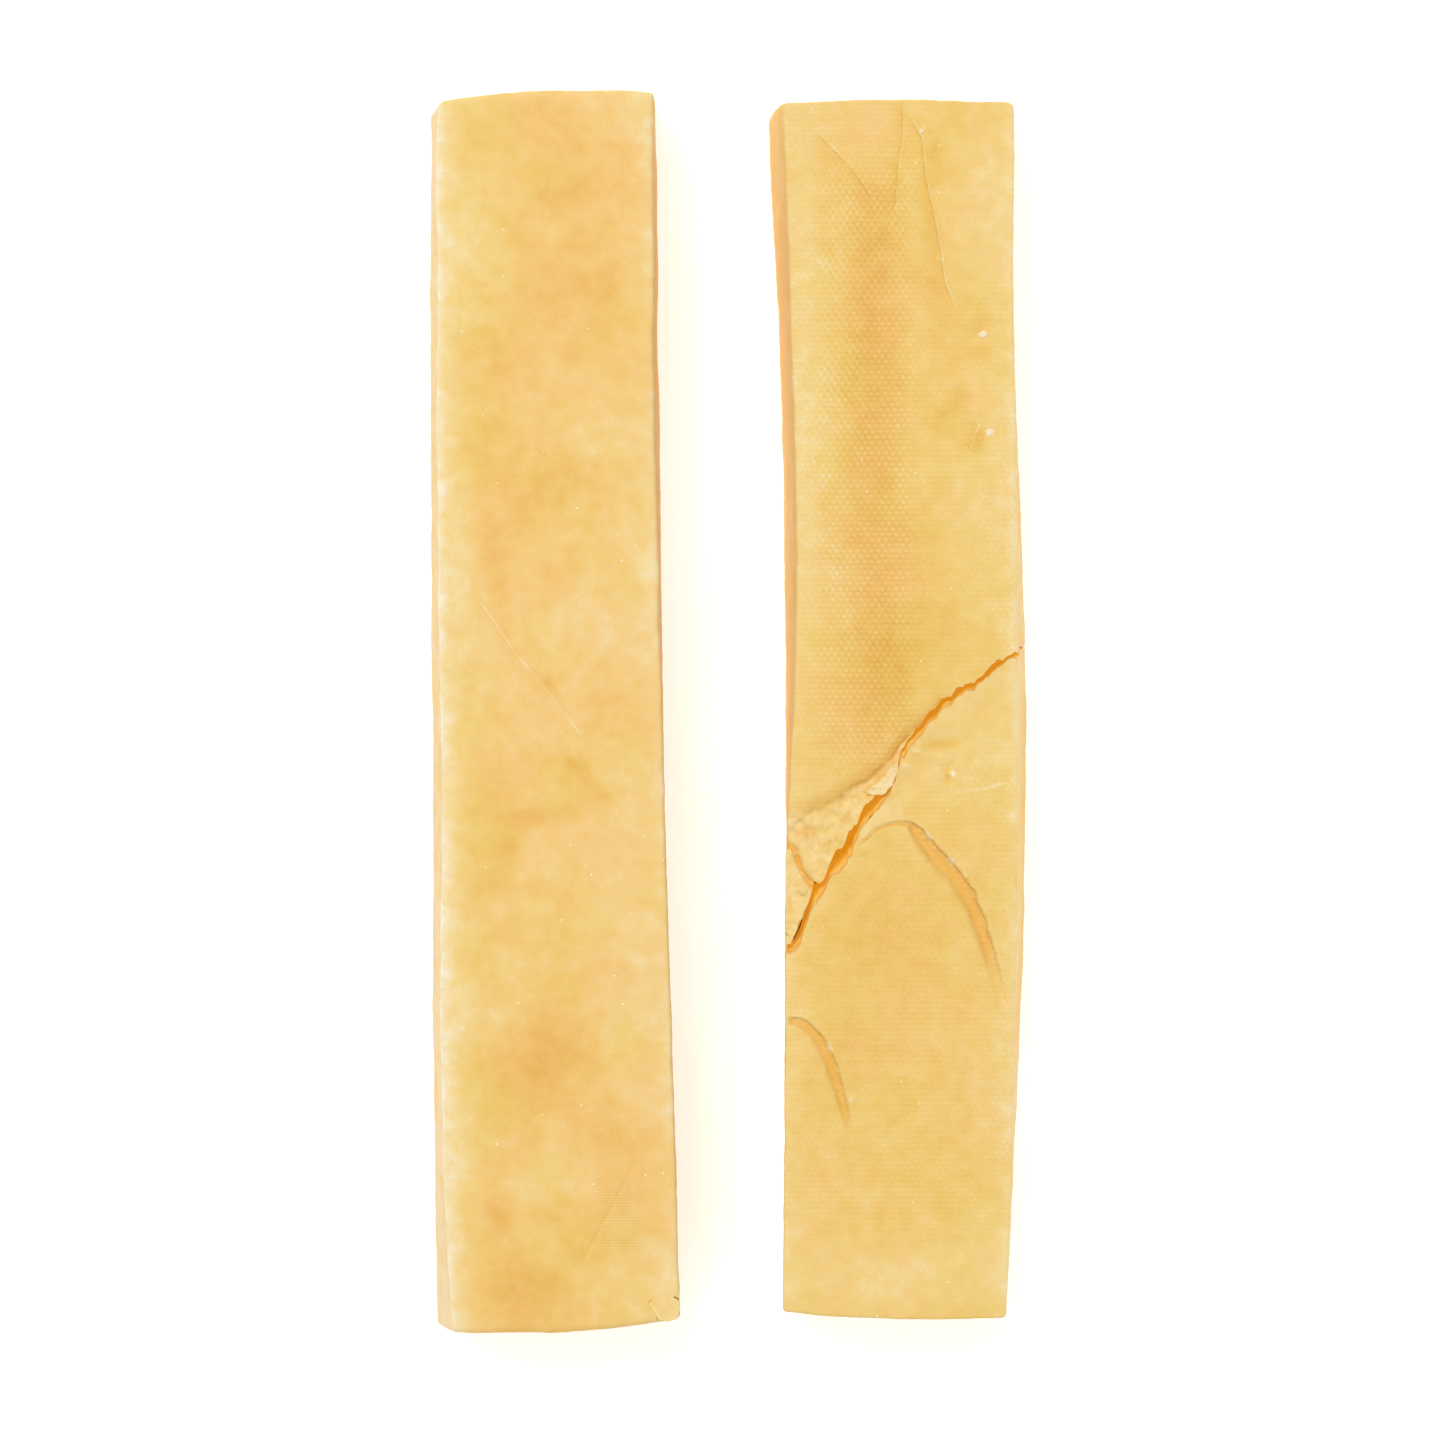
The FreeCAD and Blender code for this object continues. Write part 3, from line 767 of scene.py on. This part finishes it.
def weave(x, y):
    """The cloth's print: rows of dimples, each row shifted by half a dimple from the one before."""
    u = x + 0.35 * bumps(x, y, 14.0, 91)
    v = y + 0.35 * bumps(x, y, 16.0, 92)
    dots = np.cos(2 * math.pi * u / DIMPLE_PITCH) * np.cos(math.pi * v / ROW_PITCH)
    peaks = np.maximum(dots, 0.0) ** 1.6 * np.maximum(1.0 + 0.9 * bumps(x, y, 0.9, 93), 0.1)
    return 1.5 * peaks + 0.5 * np.minimum(dots, 0.0)


def smooth_whole(x, y):
    """The sawn face of the smooth bar as it was before its corner chipped."""
    slow = 0.09 * bumps(x, y, 15.0, 401) + 0.05 * bumps(x, y, 5.0, 402) + 0.02 * bumps(x, y, 1.5, 403)
    height = SMOOTH.thickness - FACE_REST + slow - spots(x, y, SMOOTH_DENTS)
    for path, depth, lip in SMOOTH_GROOVES:
        height += groove(x, y, path, depth, lip, -1)
    return height


# The chip at the near right corner of the smooth bar.
CHIP_LOOP = resampled([
    (11.1, -71.0), (12.0, -72.2), (12.5, -73.0), (13.6, -73.2), (14.9, -72.9), (15.1, -71.8),
    (15.1, -70.7), (14.4, -70.3), (13.0, -70.2), (11.7, -70.3),
], 0.14, 501)
CHIP_DEPTH = 2.2


def smooth_roof(x, y):
    return smooth_whole(x, y) - pocket(x, y, CHIP_LOOP, CHIP_DEPTH)


def chip_roof(x, y):
    """The chip lies flush with the face, with a crease across it."""
    crease = near_path(x, y, ((11.5, -71.0), (12.3, -72.0), (12.9, -73.0)))[0]
    return smooth_whole(x, y) + 0.02 + 0.05 * bumps(x, y, 1.2, 502) - 0.20 * bell(crease, 0.4)


def crack_side(low, high, towards, inward, gap=0.4):
    """Corners of a flake that follow the crack between two places across."""
    x = np.arange(low, high, gap)
    return list(zip(x, crack_wall(x, PRINTED.thickness - 0.5 + 0 * x, towards) + inward))


SPLINTER_LOOP = resampled([
    *crack_side(-12.7, -10.8, 1, 0.10),
    (-10.7, -20.8), (-11.1, -20.2), (-11.8, -19.2), (-12.4, -17.6), (-12.9, -16.6), (-13.5, -16.8),
    (-13.5, -20.0), (-13.5, -24.0), (-13.5, -26.8),
], 0.14, 511)
RIDGE_LOOP = resampled([
    (-4.0, -9.9), (-3.0, -9.0), (-1.6, -7.7), (-0.6, -6.5), (0.0, -6.2), (0.1, -7.0),
    (-0.4, -8.2), (-0.9, -9.2), (-1.6, -10.0), (-2.6, -10.3),
], 0.12, 521, 0.12)
WEDGE_LOOP = resampled([
    (-4.6, -15.4), (-4.3, -14.2), (-3.4, -12.9), (-2.2, -11.7), (-1.0, -10.9), (-0.1, -9.9),
    (0.5, -11.2), (0.6, -13.1), (-1.2, -13.5), (-2.6, -14.3), (-3.8, -15.4),
], 0.12, 531)
RIDGE_DEPTH = 1.2
WEDGE_DEPTH = 2.3
# The pockets of the far (+1) and the near (-1) half.
POCKETS = {1: ((SPLINTER_LOOP, SPLINTER_DEPTH), (RIDGE_LOOP, RIDGE_DEPTH)), -1: ((WEDGE_LOOP, WEDGE_DEPTH),)}
# The crumbs that are stuck in the face: across, along, radius.
CRUMBS = ((10.2, 45.2, 0.55), (11.0, 33.4, 0.6), (2.8, 69.5, 0.4))


def far_face(x, y):
    """The far half's top with the cloth's print and the pockets of its flakes."""
    height = far_roof(x, y) + WEAVE_HEIGHT * weave(x, y) * print_strength(x, y) * (1.0 - spall(x, y))
    return height - pocket(x, y, SPLINTER_LOOP, SPLINTER_DEPTH) - pocket(x, y, RIDGE_LOOP, RIDGE_DEPTH)


def near_face(x, y):
    height = near_roof(x, y) + WEAVE_HEIGHT * weave(x, y) * print_strength(x, y)
    return height - pocket(x, y, WEDGE_LOOP, WEDGE_DEPTH)


def splinter_roof(x, y):
    return far_roof(x, y) + 0.03 + 0.08 * bumps(x, y, 1.4, 541) + 0.05 * bumps(x, y, 0.6, 542)


def ridge_roof(x, y):
    facets = 0.22 * np.abs(bumps(x, y, 0.8, 551)) + 0.12 * bumps(x, y, 0.4, 552)
    return skin(x, y) - 0.10 - facets


def wedge_roof(x, y):
    return near_roof(x, y) + 0.03 + 0.06 * bumps(x, y, 1.8, 561) + 0.04 * bumps(x, y, 0.6, 562)


def crumb_lumps():
    """The crumbs: faceted lumps, half sunk in the face. Vertices and faces in the bar's plan."""
    vertices, faces = [], []
    for number, (across, along, radius) in enumerate(CRUMBS):
        lump = bmesh.new()
        bmesh.ops.create_icosphere(lump, subdivisions=4, radius=1.0)
        places = np.array([v.co for v in lump.verts])
        x, y, z = places.T
        facets = 0.30 * bumps(x + 3 * z, y - 2 * z, 0.55, 571 + number)
        chips = 0.12 * bumps(x - 2 * z, y + 3 * z, 0.22, 581 + number)
        places = places * (0.8 + facets + chips)[:, None] * radius * np.array([1.0, 0.8, 0.55])
        height = float(far_roof(np.array([across]), np.array([along]))[0])
        start = len(vertices)
        vertices += (places + np.array([across, along, height])).tolist()
        faces += [[start + v.index for v in face.verts] for face in lump.faces]
        lump.free()
    return np.array(vertices), faces


# ---- colours and materials


def srgb(*levels):
    """A linear colour from red, green and blue levels of 0 to 255."""
    shares = [level / 255 for level in levels]
    return (*(c / 12.92 if c <= 0.04045 else ((c + 0.055) / 1.055) ** 2.4 for c in shares), 1.0)


# Tone, from deep to pale, and its colour where the curd is peach and where it is yellow.
TONES = (
    (0.00, srgb(222, 166, 80), srgb(218, 168, 70)),
    (0.25, srgb(232, 181, 100), srgb(227, 184, 90)),
    (0.50, srgb(238, 194, 117), srgb(234, 197, 110)),
    (0.70, srgb(240, 203, 134), srgb(238, 206, 130)),
    (0.82, srgb(241, 211, 152), srgb(241, 214, 150)),
    (0.92, srgb(241, 220, 176), srgb(241, 222, 176)),
    (1.00, srgb(246, 232, 204), srgb(246, 232, 204)),
)
# painted shade: the sides' colours, darker and deeper orange than the face because less light falls on the
# sides
SAWN_SIDE_SHADE = srgb(216, 176, 92)
PRINTED_SIDE_SHADE = srgb(234, 184, 76)
# painted shade: the next two colours paint the insides of cracks, hollows and gaps, deeper orange where they
# are shaded and paler where a broken face lies fully inside a crack
CRACK_COLOUR = srgb(222, 188, 100)
CRACK_SHADE_COLOUR = srgb(222, 166, 76)
# painted light: cracks glow with this emission colour, standing in for light that reaches them through the
# curd
GLOW_COLOUR = srgb(200, 150, 38)  # light that reaches a crack through the curd
FRESH_COLOUR = srgb(243, 211, 146)
SPECK_COLOUR = srgb(252, 240, 214)
BLACK = (0.0, 0.0, 0.0, 1.0)
WHITE = (1.0, 1.0, 1.0, 1.0)
SAW_PITCH = 0.34


class Shader:
    """A material's node tree, with short ways to add and join nodes."""

    def __init__(self, name):
        self.material = bpy.data.materials.new(name)
        self.material.use_nodes = True
        self.tree = self.material.node_tree
        self.principled = self.tree.nodes["Principled BSDF"]
        self.place = self.add("ShaderNodeTexCoord").outputs["Object"]

    def add(self, kind, inputs=None, **settings):
        node = self.tree.nodes.new(kind)
        for key, value in settings.items():
            setattr(node, key, value)
        for key, value in (inputs or {}).items():
            self.put(node.inputs[key], value)
        return node

    def put(self, socket, value):
        if isinstance(value, bpy.types.NodeSocket):
            self.tree.links.new(value, socket)
        else:
            socket.default_value = value

    def surface(self, name, value):
        self.put(self.principled.inputs[name], value)

    def field(self, name):
        return self.add("ShaderNodeAttribute", attribute_name=name).outputs["Fac"]

    def math(self, operation, *values, clamp=False):
        node = self.add("ShaderNodeMath", dict(enumerate(values)), operation=operation, use_clamp=clamp)
        return node.outputs[0]

    def noise(self, size, detail=3.0):
        """Noise about 0.5, with features of that size in millimetres."""
        inputs = {"Vector": self.place, "Scale": 1.0 / (size * MM), "Detail": detail, "Roughness": 0.55}
        return self.add("ShaderNodeTexNoise", inputs).outputs["Fac"]

    def waves(self, pitch, distortion, detail):
        """Ribs across the bar, a pitch in millimetres apart."""
        scale = 2 * math.pi / (20 * pitch * MM)  # the texture's phase is 20 times its scaled place
        inputs = {"Vector": self.place, "Scale": scale, "Distortion": distortion, "Detail": detail}
        return self.add("ShaderNodeTexWave", inputs, bands_direction="Y").outputs["Fac"]

    def ramp(self, value, stops):
        node = self.add("ShaderNodeValToRGB", {"Fac": value})
        elements = node.color_ramp.elements
        while len(elements) < len(stops):
            elements.new(0.5)
        for element, (position, colour) in zip(elements, stops):
            element.position, element.color = position, colour
        return node.outputs["Color"]

    def mixed(self, share, first, second):
        node = self.add("ShaderNodeMix", {0: share, 6: first, 7: second}, data_type="RGBA")
        return node.outputs[2]

    def between(self, value, low, high):
        inputs = {"Value": value, "From Min": low, "From Max": high}
        return self.add("ShaderNodeMapRange", inputs, interpolation_type="SMOOTHSTEP").outputs[0]


def curd_material(name, wall=SAWN_SIDE_SHADE, specks=1.0, ribs=0.0, saw=0.0, rough=0.5):
    """Pressed, dried curd: cloudy, white-specked and waxy, with cloth ribs or saw marks as fine relief."""
    s = Shader(name)
    mottle = s.math("MULTIPLY_ADD", s.noise(2.2, 4.0), 0.5, -0.25)
    grain = s.math("MULTIPLY_ADD", s.noise(0.35, 2.0), 0.20, -0.10)
    tone = s.math("ADD", s.math("ADD", s.field("tone"), mottle), grain)
    tone = s.math("MULTIPLY_ADD", s.field("weave"), 0.20, tone, clamp=True)
    yellow = s.math("SUBTRACT", s.field("yellow"), 0.8)
    yellow = s.math("MULTIPLY_ADD", s.noise(4.0, 4.0), 1.6, yellow, clamp=True)
    peach_stops = [(tone_at, peach) for tone_at, peach, _ in TONES]
    yellow_stops = [(tone_at, yellowish) for tone_at, _, yellowish in TONES]
    colour = s.mixed(yellow, s.ramp(tone, peach_stops), s.ramp(tone, yellow_stops))
    # painted shade: the sides are mixed most of the way to that darker side colour
    colour = s.mixed(s.math("MULTIPLY", s.field("wall"), 0.6), colour, wall)
    broken = s.math("MULTIPLY", s.field("fresh"), s.between(s.noise(0.9, 3.0), 0.3, 0.7))
    colour = s.mixed(broken, colour, FRESH_COLOUR)
    # painted shade: the crack field deepens the colour in cracks, groove floors, the gaps round flakes and
    # the chip, down flake sides and on the smooth bar's right side; the spalled strip's deeper orange spots
    # take the same colour
    uneven = s.math("MULTIPLY_ADD", s.noise(0.6, 4.0), 1.8, 0.1)
    crack_shade = s.math("MULTIPLY", s.field("crack"), uneven, clamp=True)
    deep = s.between(s.field("crack"), 0.85, 1.0)
    colour = s.mixed(crack_shade, colour, s.mixed(deep, CRACK_SHADE_COLOUR, CRACK_COLOUR))
    cells = s.add("ShaderNodeTexVoronoi", {"Vector": s.place, "Scale": 1.0 / (1.9 * MM)})
    dots = s.between(cells.outputs["Distance"], 0.075, 0.045)
    chosen = s.between(s.noise(2.6, 1.0), 0.56, 0.60)
    white = s.math("MULTIPLY", s.math("MULTIPLY", dots, chosen), specks)
    colour = s.mixed(white, colour, SPECK_COLOUR)
    s.surface("Base Color", colour)
    worn = s.math("MULTIPLY_ADD", s.noise(1.4, 3.0), 0.16, rough - 0.08)
    s.surface("Roughness", worn)
    s.surface("IOR", 1.45)
    s.surface("Specular IOR Level", 0.1)
    # painted light: the fullest parts of the crack mask glow, in place of light through the curd
    glow = s.math("MULTIPLY", crack_shade, s.between(s.field("crack"), 0.45, 1.0))
    s.surface("Emission Color", s.mixed(glow, BLACK, GLOW_COLOUR))
    s.surface("Emission Strength", 0.42)
    relief = s.math("MULTIPLY", s.noise(0.5, 4.0), 0.030)
    relief = s.math("MULTIPLY_ADD", s.noise(3.0, 2.0), 0.12, relief)
    if ribs:
        flat = s.math("SUBTRACT", s.field("print"), s.field("fresh"), clamp=True)
        ribbed = s.math("MULTIPLY", s.waves(ROW_PITCH, 1.2, 1.0), s.math("POWER", flat, 0.5))
        relief = s.math("MULTIPLY_ADD", ribbed, ribs, relief)
    if saw:
        sawn_lines = s.math("MULTIPLY", s.waves(SAW_PITCH, 0.6, 2.0), s.field("saw"))
        relief = s.math("MULTIPLY_ADD", sawn_lines, saw, relief)
    bump = s.add("ShaderNodeBump", {"Height": relief, "Distance": MM, "Strength": 1.0})
    s.surface("Normal", bump.outputs["Normal"])
    return s.material


def floor_material():
    s = Shader("pale_floor")
    tone = s.math("MULTIPLY_ADD", s.noise(40.0, 2.0), 0.02, 0.89)
    s.surface("Base Color", s.ramp(tone, ((0.0, BLACK), (1.0, WHITE))))
    s.surface("Roughness", 0.9)
    s.surface("Emission Color", WHITE)
    s.surface("Emission Strength", 0.5)
    return s.material


# ---- pieces


def wall_share(bar, z, rim):
    """1 on the sides of a bar and 0 on its face."""
    return step_up(0.0, 0.5 + rim, bar.thickness - FACE_REST - 0.2 - z)


def wall_clouds(x, y, z, seed):
    """Clouds and faint upright streaks on the sides of a bar."""
    along = y + 0.7 * x
    return 0.26 * clouds(along, z - 0.7 * x, seed) + 0.10 * bumps(along, 0.15 * z, 1.1, seed + 9)


def smooth_fields(vertices):
    """What the smooth bar's material reads at each vertex."""
    x, y, z = vertices.T
    saw = window(x, 3.5, 6.0, 9.0, 12.5) * window(y, -67.0, -64.0, -58.0, -54.0)
    below = SMOOTH.thickness - z
    hollow = step_up(0.3, 1.5, below) * (below < CHIP_DEPTH + 0.6) * (signed(x, y, CHIP_LOOP) > -0.3)
    wall = wall_share(SMOOTH, z, SMOOTH_RIM)
    tone = smooth_tone(x, y) + wall * wall_clouds(x, y, z, 221)
    yellow = smooth_yellow(x, y)
    # painted shade down the chip's gap and on the bar's right side
    painted_shade = np.maximum(0.1 * hollow, 0.5 * wall * (x > 0))
    return {"tone": tone, "yellow": yellow, "fresh": hollow, "crack": painted_shade, "saw": saw, "wall": wall}


def printed_fields(vertices, towards, on_wall):
    """The same for a half of the printed bar, where on_wall is true on the broken face."""
    x, y, z = vertices.T
    below = np.maximum(skin(x, y) - z, 0.0)
    under_edge = np.maximum((far_face if towards > 0 else near_face)(x, y) - z, 0.0)
    # painted shade: the broken face is painted deeper below its top edge, and less deep from 7 mm down
    crack = on_wall * step_up(0.0, 0.7, under_edge) * (1.0 - 0.6 * step_up(7.0, 13.0, under_edge))
    fresh = on_wall.astype(float)
    chipped = step_up(-0.2, 0.5, bumps(x, y, 0.6, 97))
    tone_rise = 0.4 * chipped * np.clip(spots(x, y, PRINTED_RISES) / 0.2, 0.0, 1.0)
    if towards > 0:
        fresh = np.maximum(fresh, spall(x, y))
        # painted shade along the step at the spall's edge and in the side branch
        band = bell(y - spall_edge(x) - 0.5, 1.0) * step_up(-13.5, -10.0, x)
        crack_shade = bell(near_path(x, y, Y_BRANCH)[0], 0.6)
        crack = np.maximum.reduce([crack, 0.5 * band, 0.8 * crack_shade, 0.6 * spots(x, y, SPALL_SPOTS)])
    else:
        for path in (ARCH, FOLD):
            away, side, share, width = near_path(x, y, path)
            # painted shade on the floors of the arch and the fold
            floor = np.exp(-((away / (0.5 * width)) ** 3)) * window(share, 0.0, 0.05, 0.75, 1.0)
            crack = np.maximum(crack, 0.7 * floor)
            chips = bell(away - 0.62 * width, 0.25) * (side > 0) * step_up(0.1, 0.6, bumps(x, y, 0.9, 96))
            tone_rise = np.maximum(tone_rise, 0.5 * chips * window(share, 0.2, 0.26, 0.45, 0.6))
        line, _ = crack_line(x)
        fresh = np.maximum(fresh, 0.6 * bell(line - y, 3.0) * step_up(-7.0, -2.0, x))
    for loop, depth in POCKETS[towards]:
        # painted shade down the gaps round the flakes
        inside = (below < depth + 0.8) & (signed(x, y, loop) > -0.3)
        crack = np.maximum(crack, 0.8 * step_up(0.3, 1.2, below) * inside)
    strength = print_strength(x, y) * (1 - fresh) * (below < 0.8)
    wall = wall_share(PRINTED, z, PRINTED_RIM) * ~on_wall * (PRINTED.edge_distance(x, y, z) < 1.0)
    # the crease term is painted light and shade of the creases
    tone = printed_tone(x, y) + crease_light_and_shade(x, y) + tone_rise * (crack < 0.5)
    return {
        "tone": tone + wall * wall_clouds(x, y, z, 321),
        "yellow": printed_yellow(x, y),
        "fresh": fresh,
        "crack": crack,
        "print": strength,
        "weave": weave(x, y) * strength,
        "wall": wall,
    }


def flake_fields(vertices, roof, tone, fresh):
    """The same for a flake of one tone."""
    x, y, z = vertices.T
    # painted shade: a flake's sides are painted deeper below its top
    crack = 0.7 * step_up(0.5, 2.0, np.maximum(roof(x, y) - z, 0.0))
    tone = tone + 0.1 * bumps(x, y, 1.5, 601)
    return {"tone": tone, "yellow": 0.6 + 0 * x, "fresh": fresh + 0 * x, "crack": crack}


def flake(loop, bar, roof, depth, towards_side):
    """A flake that sits in its pocket, made as slab makes it."""

    def base(x, y):
        return roof(x, y) - depth

    span = (bar.thickness - depth, bar.thickness)
    outline = flake_outline(loop, bar, towards_side)
    return slab(outline, roof, base, span, 0.05, 0.14, 0.14, levels=14, base_gap=0.3)


sawn = curd_material("sawn_curd", saw=0.03)
printed = curd_material("printed_curd", wall=PRINTED_SIDE_SHADE, ribs=0.045, specks=0.8)
broken = curd_material("broken_curd", specks=0.5, rough=0.55)

outline = bar_outline(SMOOTH, 101)
scratches = [(path, 0.8, 0.16) for path, _, _ in SMOOTH_GROOVES]
zones = [([*CHIP_LOOP, CHIP_LOOP[0]], 0.5, 0.1), *scratches]
span = (0.0, SMOOTH.thickness)
vertices, faces, _ = slab(outline, smooth_roof, flat_floor, span, SMOOTH_RIM, 0.42, 0.42, zones)
fields = smooth_fields(vertices)
make("smooth_bar_visual", SMOOTH, vertices, faces, "smooth_bar", ["smooth_bar"], "sawn_curd", sawn, fields)

vertices, faces, _ = flake(CHIP_LOOP, SMOOTH, chip_roof, CHIP_DEPTH, 1)
fields = flake_fields(vertices, chip_roof, 0.78, 0.5)
make("corner_chip_visual", SMOOTH, vertices, faces, "smooth_bar", ["corner_chip"], "sawn_curd", sawn, fields)

# Node, body, which side of the crack, and the top face.
HALVES = (
    ("printed_bar_far_half", "printed_far_half", 1, far_face),
    ("printed_bar_near_half", "printed_near_half", -1, near_face),
)
for node, body, towards, face in HALVES:

    def cut(x, z, towards=towards):
        return crack_wall(x, z, towards)

    outline = bar_outline(PRINTED, 111, cut if towards > 0 else None, cut if towards < 0 else None)
    zones = [([*loop, loop[0]], 0.5, 0.1) for loop, _ in POCKETS[towards]]
    if towards > 0:
        zones += [(CRACK, 1.0, 0.14), (SPALL_EDGE, 1.2, 0.14)]
        zones += [(path, 0.5, 0.14) for path, _ in CREASES[:4]]
    else:
        zones += [(CRACK, 1.0, 0.14), (ARCH, 1.6, 0.15), (FOLD, 1.2, 0.15)]
    span = (0.0, PRINTED.thickness)
    vertices, faces, place = slab(outline, face, flat_floor, span, PRINTED_RIM, 0.21, ROW_PITCH / 3, zones)
    broken_wall = (place >= outline.cut[0]) & (place < outline.cut[1])
    fields = printed_fields(vertices, towards, broken_wall)
    make(node + "_visual", PRINTED, vertices, faces, body, [node], "printed_curd", printed, fields)

# Node, body, loop, top face, depth, tone, how fresh it is, and the bar's side that it is on.
FLAKES = (
    ("side_splinter", "printed_far_half", SPLINTER_LOOP, splinter_roof, SPLINTER_DEPTH, 0.70, 0.2, -1),
    ("ridge_flake", "printed_far_half", RIDGE_LOOP, ridge_roof, RIDGE_DEPTH, 0.84, 0.4, 0),
    ("wedge_flake", "printed_near_half", WEDGE_LOOP, wedge_roof, WEDGE_DEPTH, 0.70, 0.6, 0),
)
for node, body, loop, roof, depth, tone, fresh, side in FLAKES:
    vertices, faces, _ = flake(loop, PRINTED, roof, depth, side)
    fields = flake_fields(vertices, roof, tone, fresh)
    make(node + "_visual", PRINTED, vertices, faces, body, [node], "broken_curd", broken, fields)

vertices, faces = crumb_lumps()
fields = {"tone": np.full(len(vertices), 1.0), "fresh": np.full(len(vertices), 0.5)}
crumbs = ("printed_far_half", ["face_crumbs"], "broken_curd", broken, fields)
make("face_crumbs_visual", PRINTED, vertices, faces, *crumbs, sharp=25.0)


# ---- floor, light and camera

CAMERA_LENS = 300.0
SENSOR = 36.0
FRAME_WIDTH = 173.4  # at the height of the top faces
CAMERA_PLACE = (-0.66, -1.32)  # the middle of the frame, from the middle of the pair
FLOOR_REACH = 3.0  # in metres, as are the lights' places and sizes

floor_mesh = bpy.data.meshes.new("floor")
floor_corners = [(a * FLOOR_REACH, b * FLOOR_REACH, 0) for a, b in ((-1, -1), (1, -1), (1, 1), (-1, 1))]
floor_mesh.from_pydata(floor_corners, [], [(0, 1, 2, 3)])
floor_mesh.materials.append(floor_material())
in_scene("floor", floor_mesh)


def soft_light(name, place, size, power):
    lamp = bpy.data.lights.new(name, "AREA")
    lamp.shape = "DISK"
    lamp.size = size
    lamp.energy = power
    light = in_scene(name, lamp)
    light.location = place
    light.rotation_euler = (-Vector(place)).to_track_quat("-Z", "Y").to_euler()


soft_light("key", (-0.6, 0.8, 1.7), 1.2, 21.0)
soft_light("fill", (1.2, -0.6, 1.4), 1.6, 6.0)

world = bpy.data.worlds.new("studio")
world.use_nodes = True
world.node_tree.nodes["Background"].inputs["Color"].default_value = WHITE
world.node_tree.nodes["Background"].inputs["Strength"].default_value = 0.52
bpy.context.scene.world = world
bpy.context.scene.view_settings.view_transform = "Standard"

lens = bpy.data.cameras.new("camera")
lens.lens = CAMERA_LENS
lens.sensor_width = SENSOR
lens.clip_start = 0.01
camera = in_scene("camera", lens)
height = SMOOTH.thickness + FRAME_WIDTH * CAMERA_LENS / SENSOR
camera.location = (CAMERA_PLACE[0] * MM, CAMERA_PLACE[1] * MM, height * MM)
bpy.context.scene.camera = camera
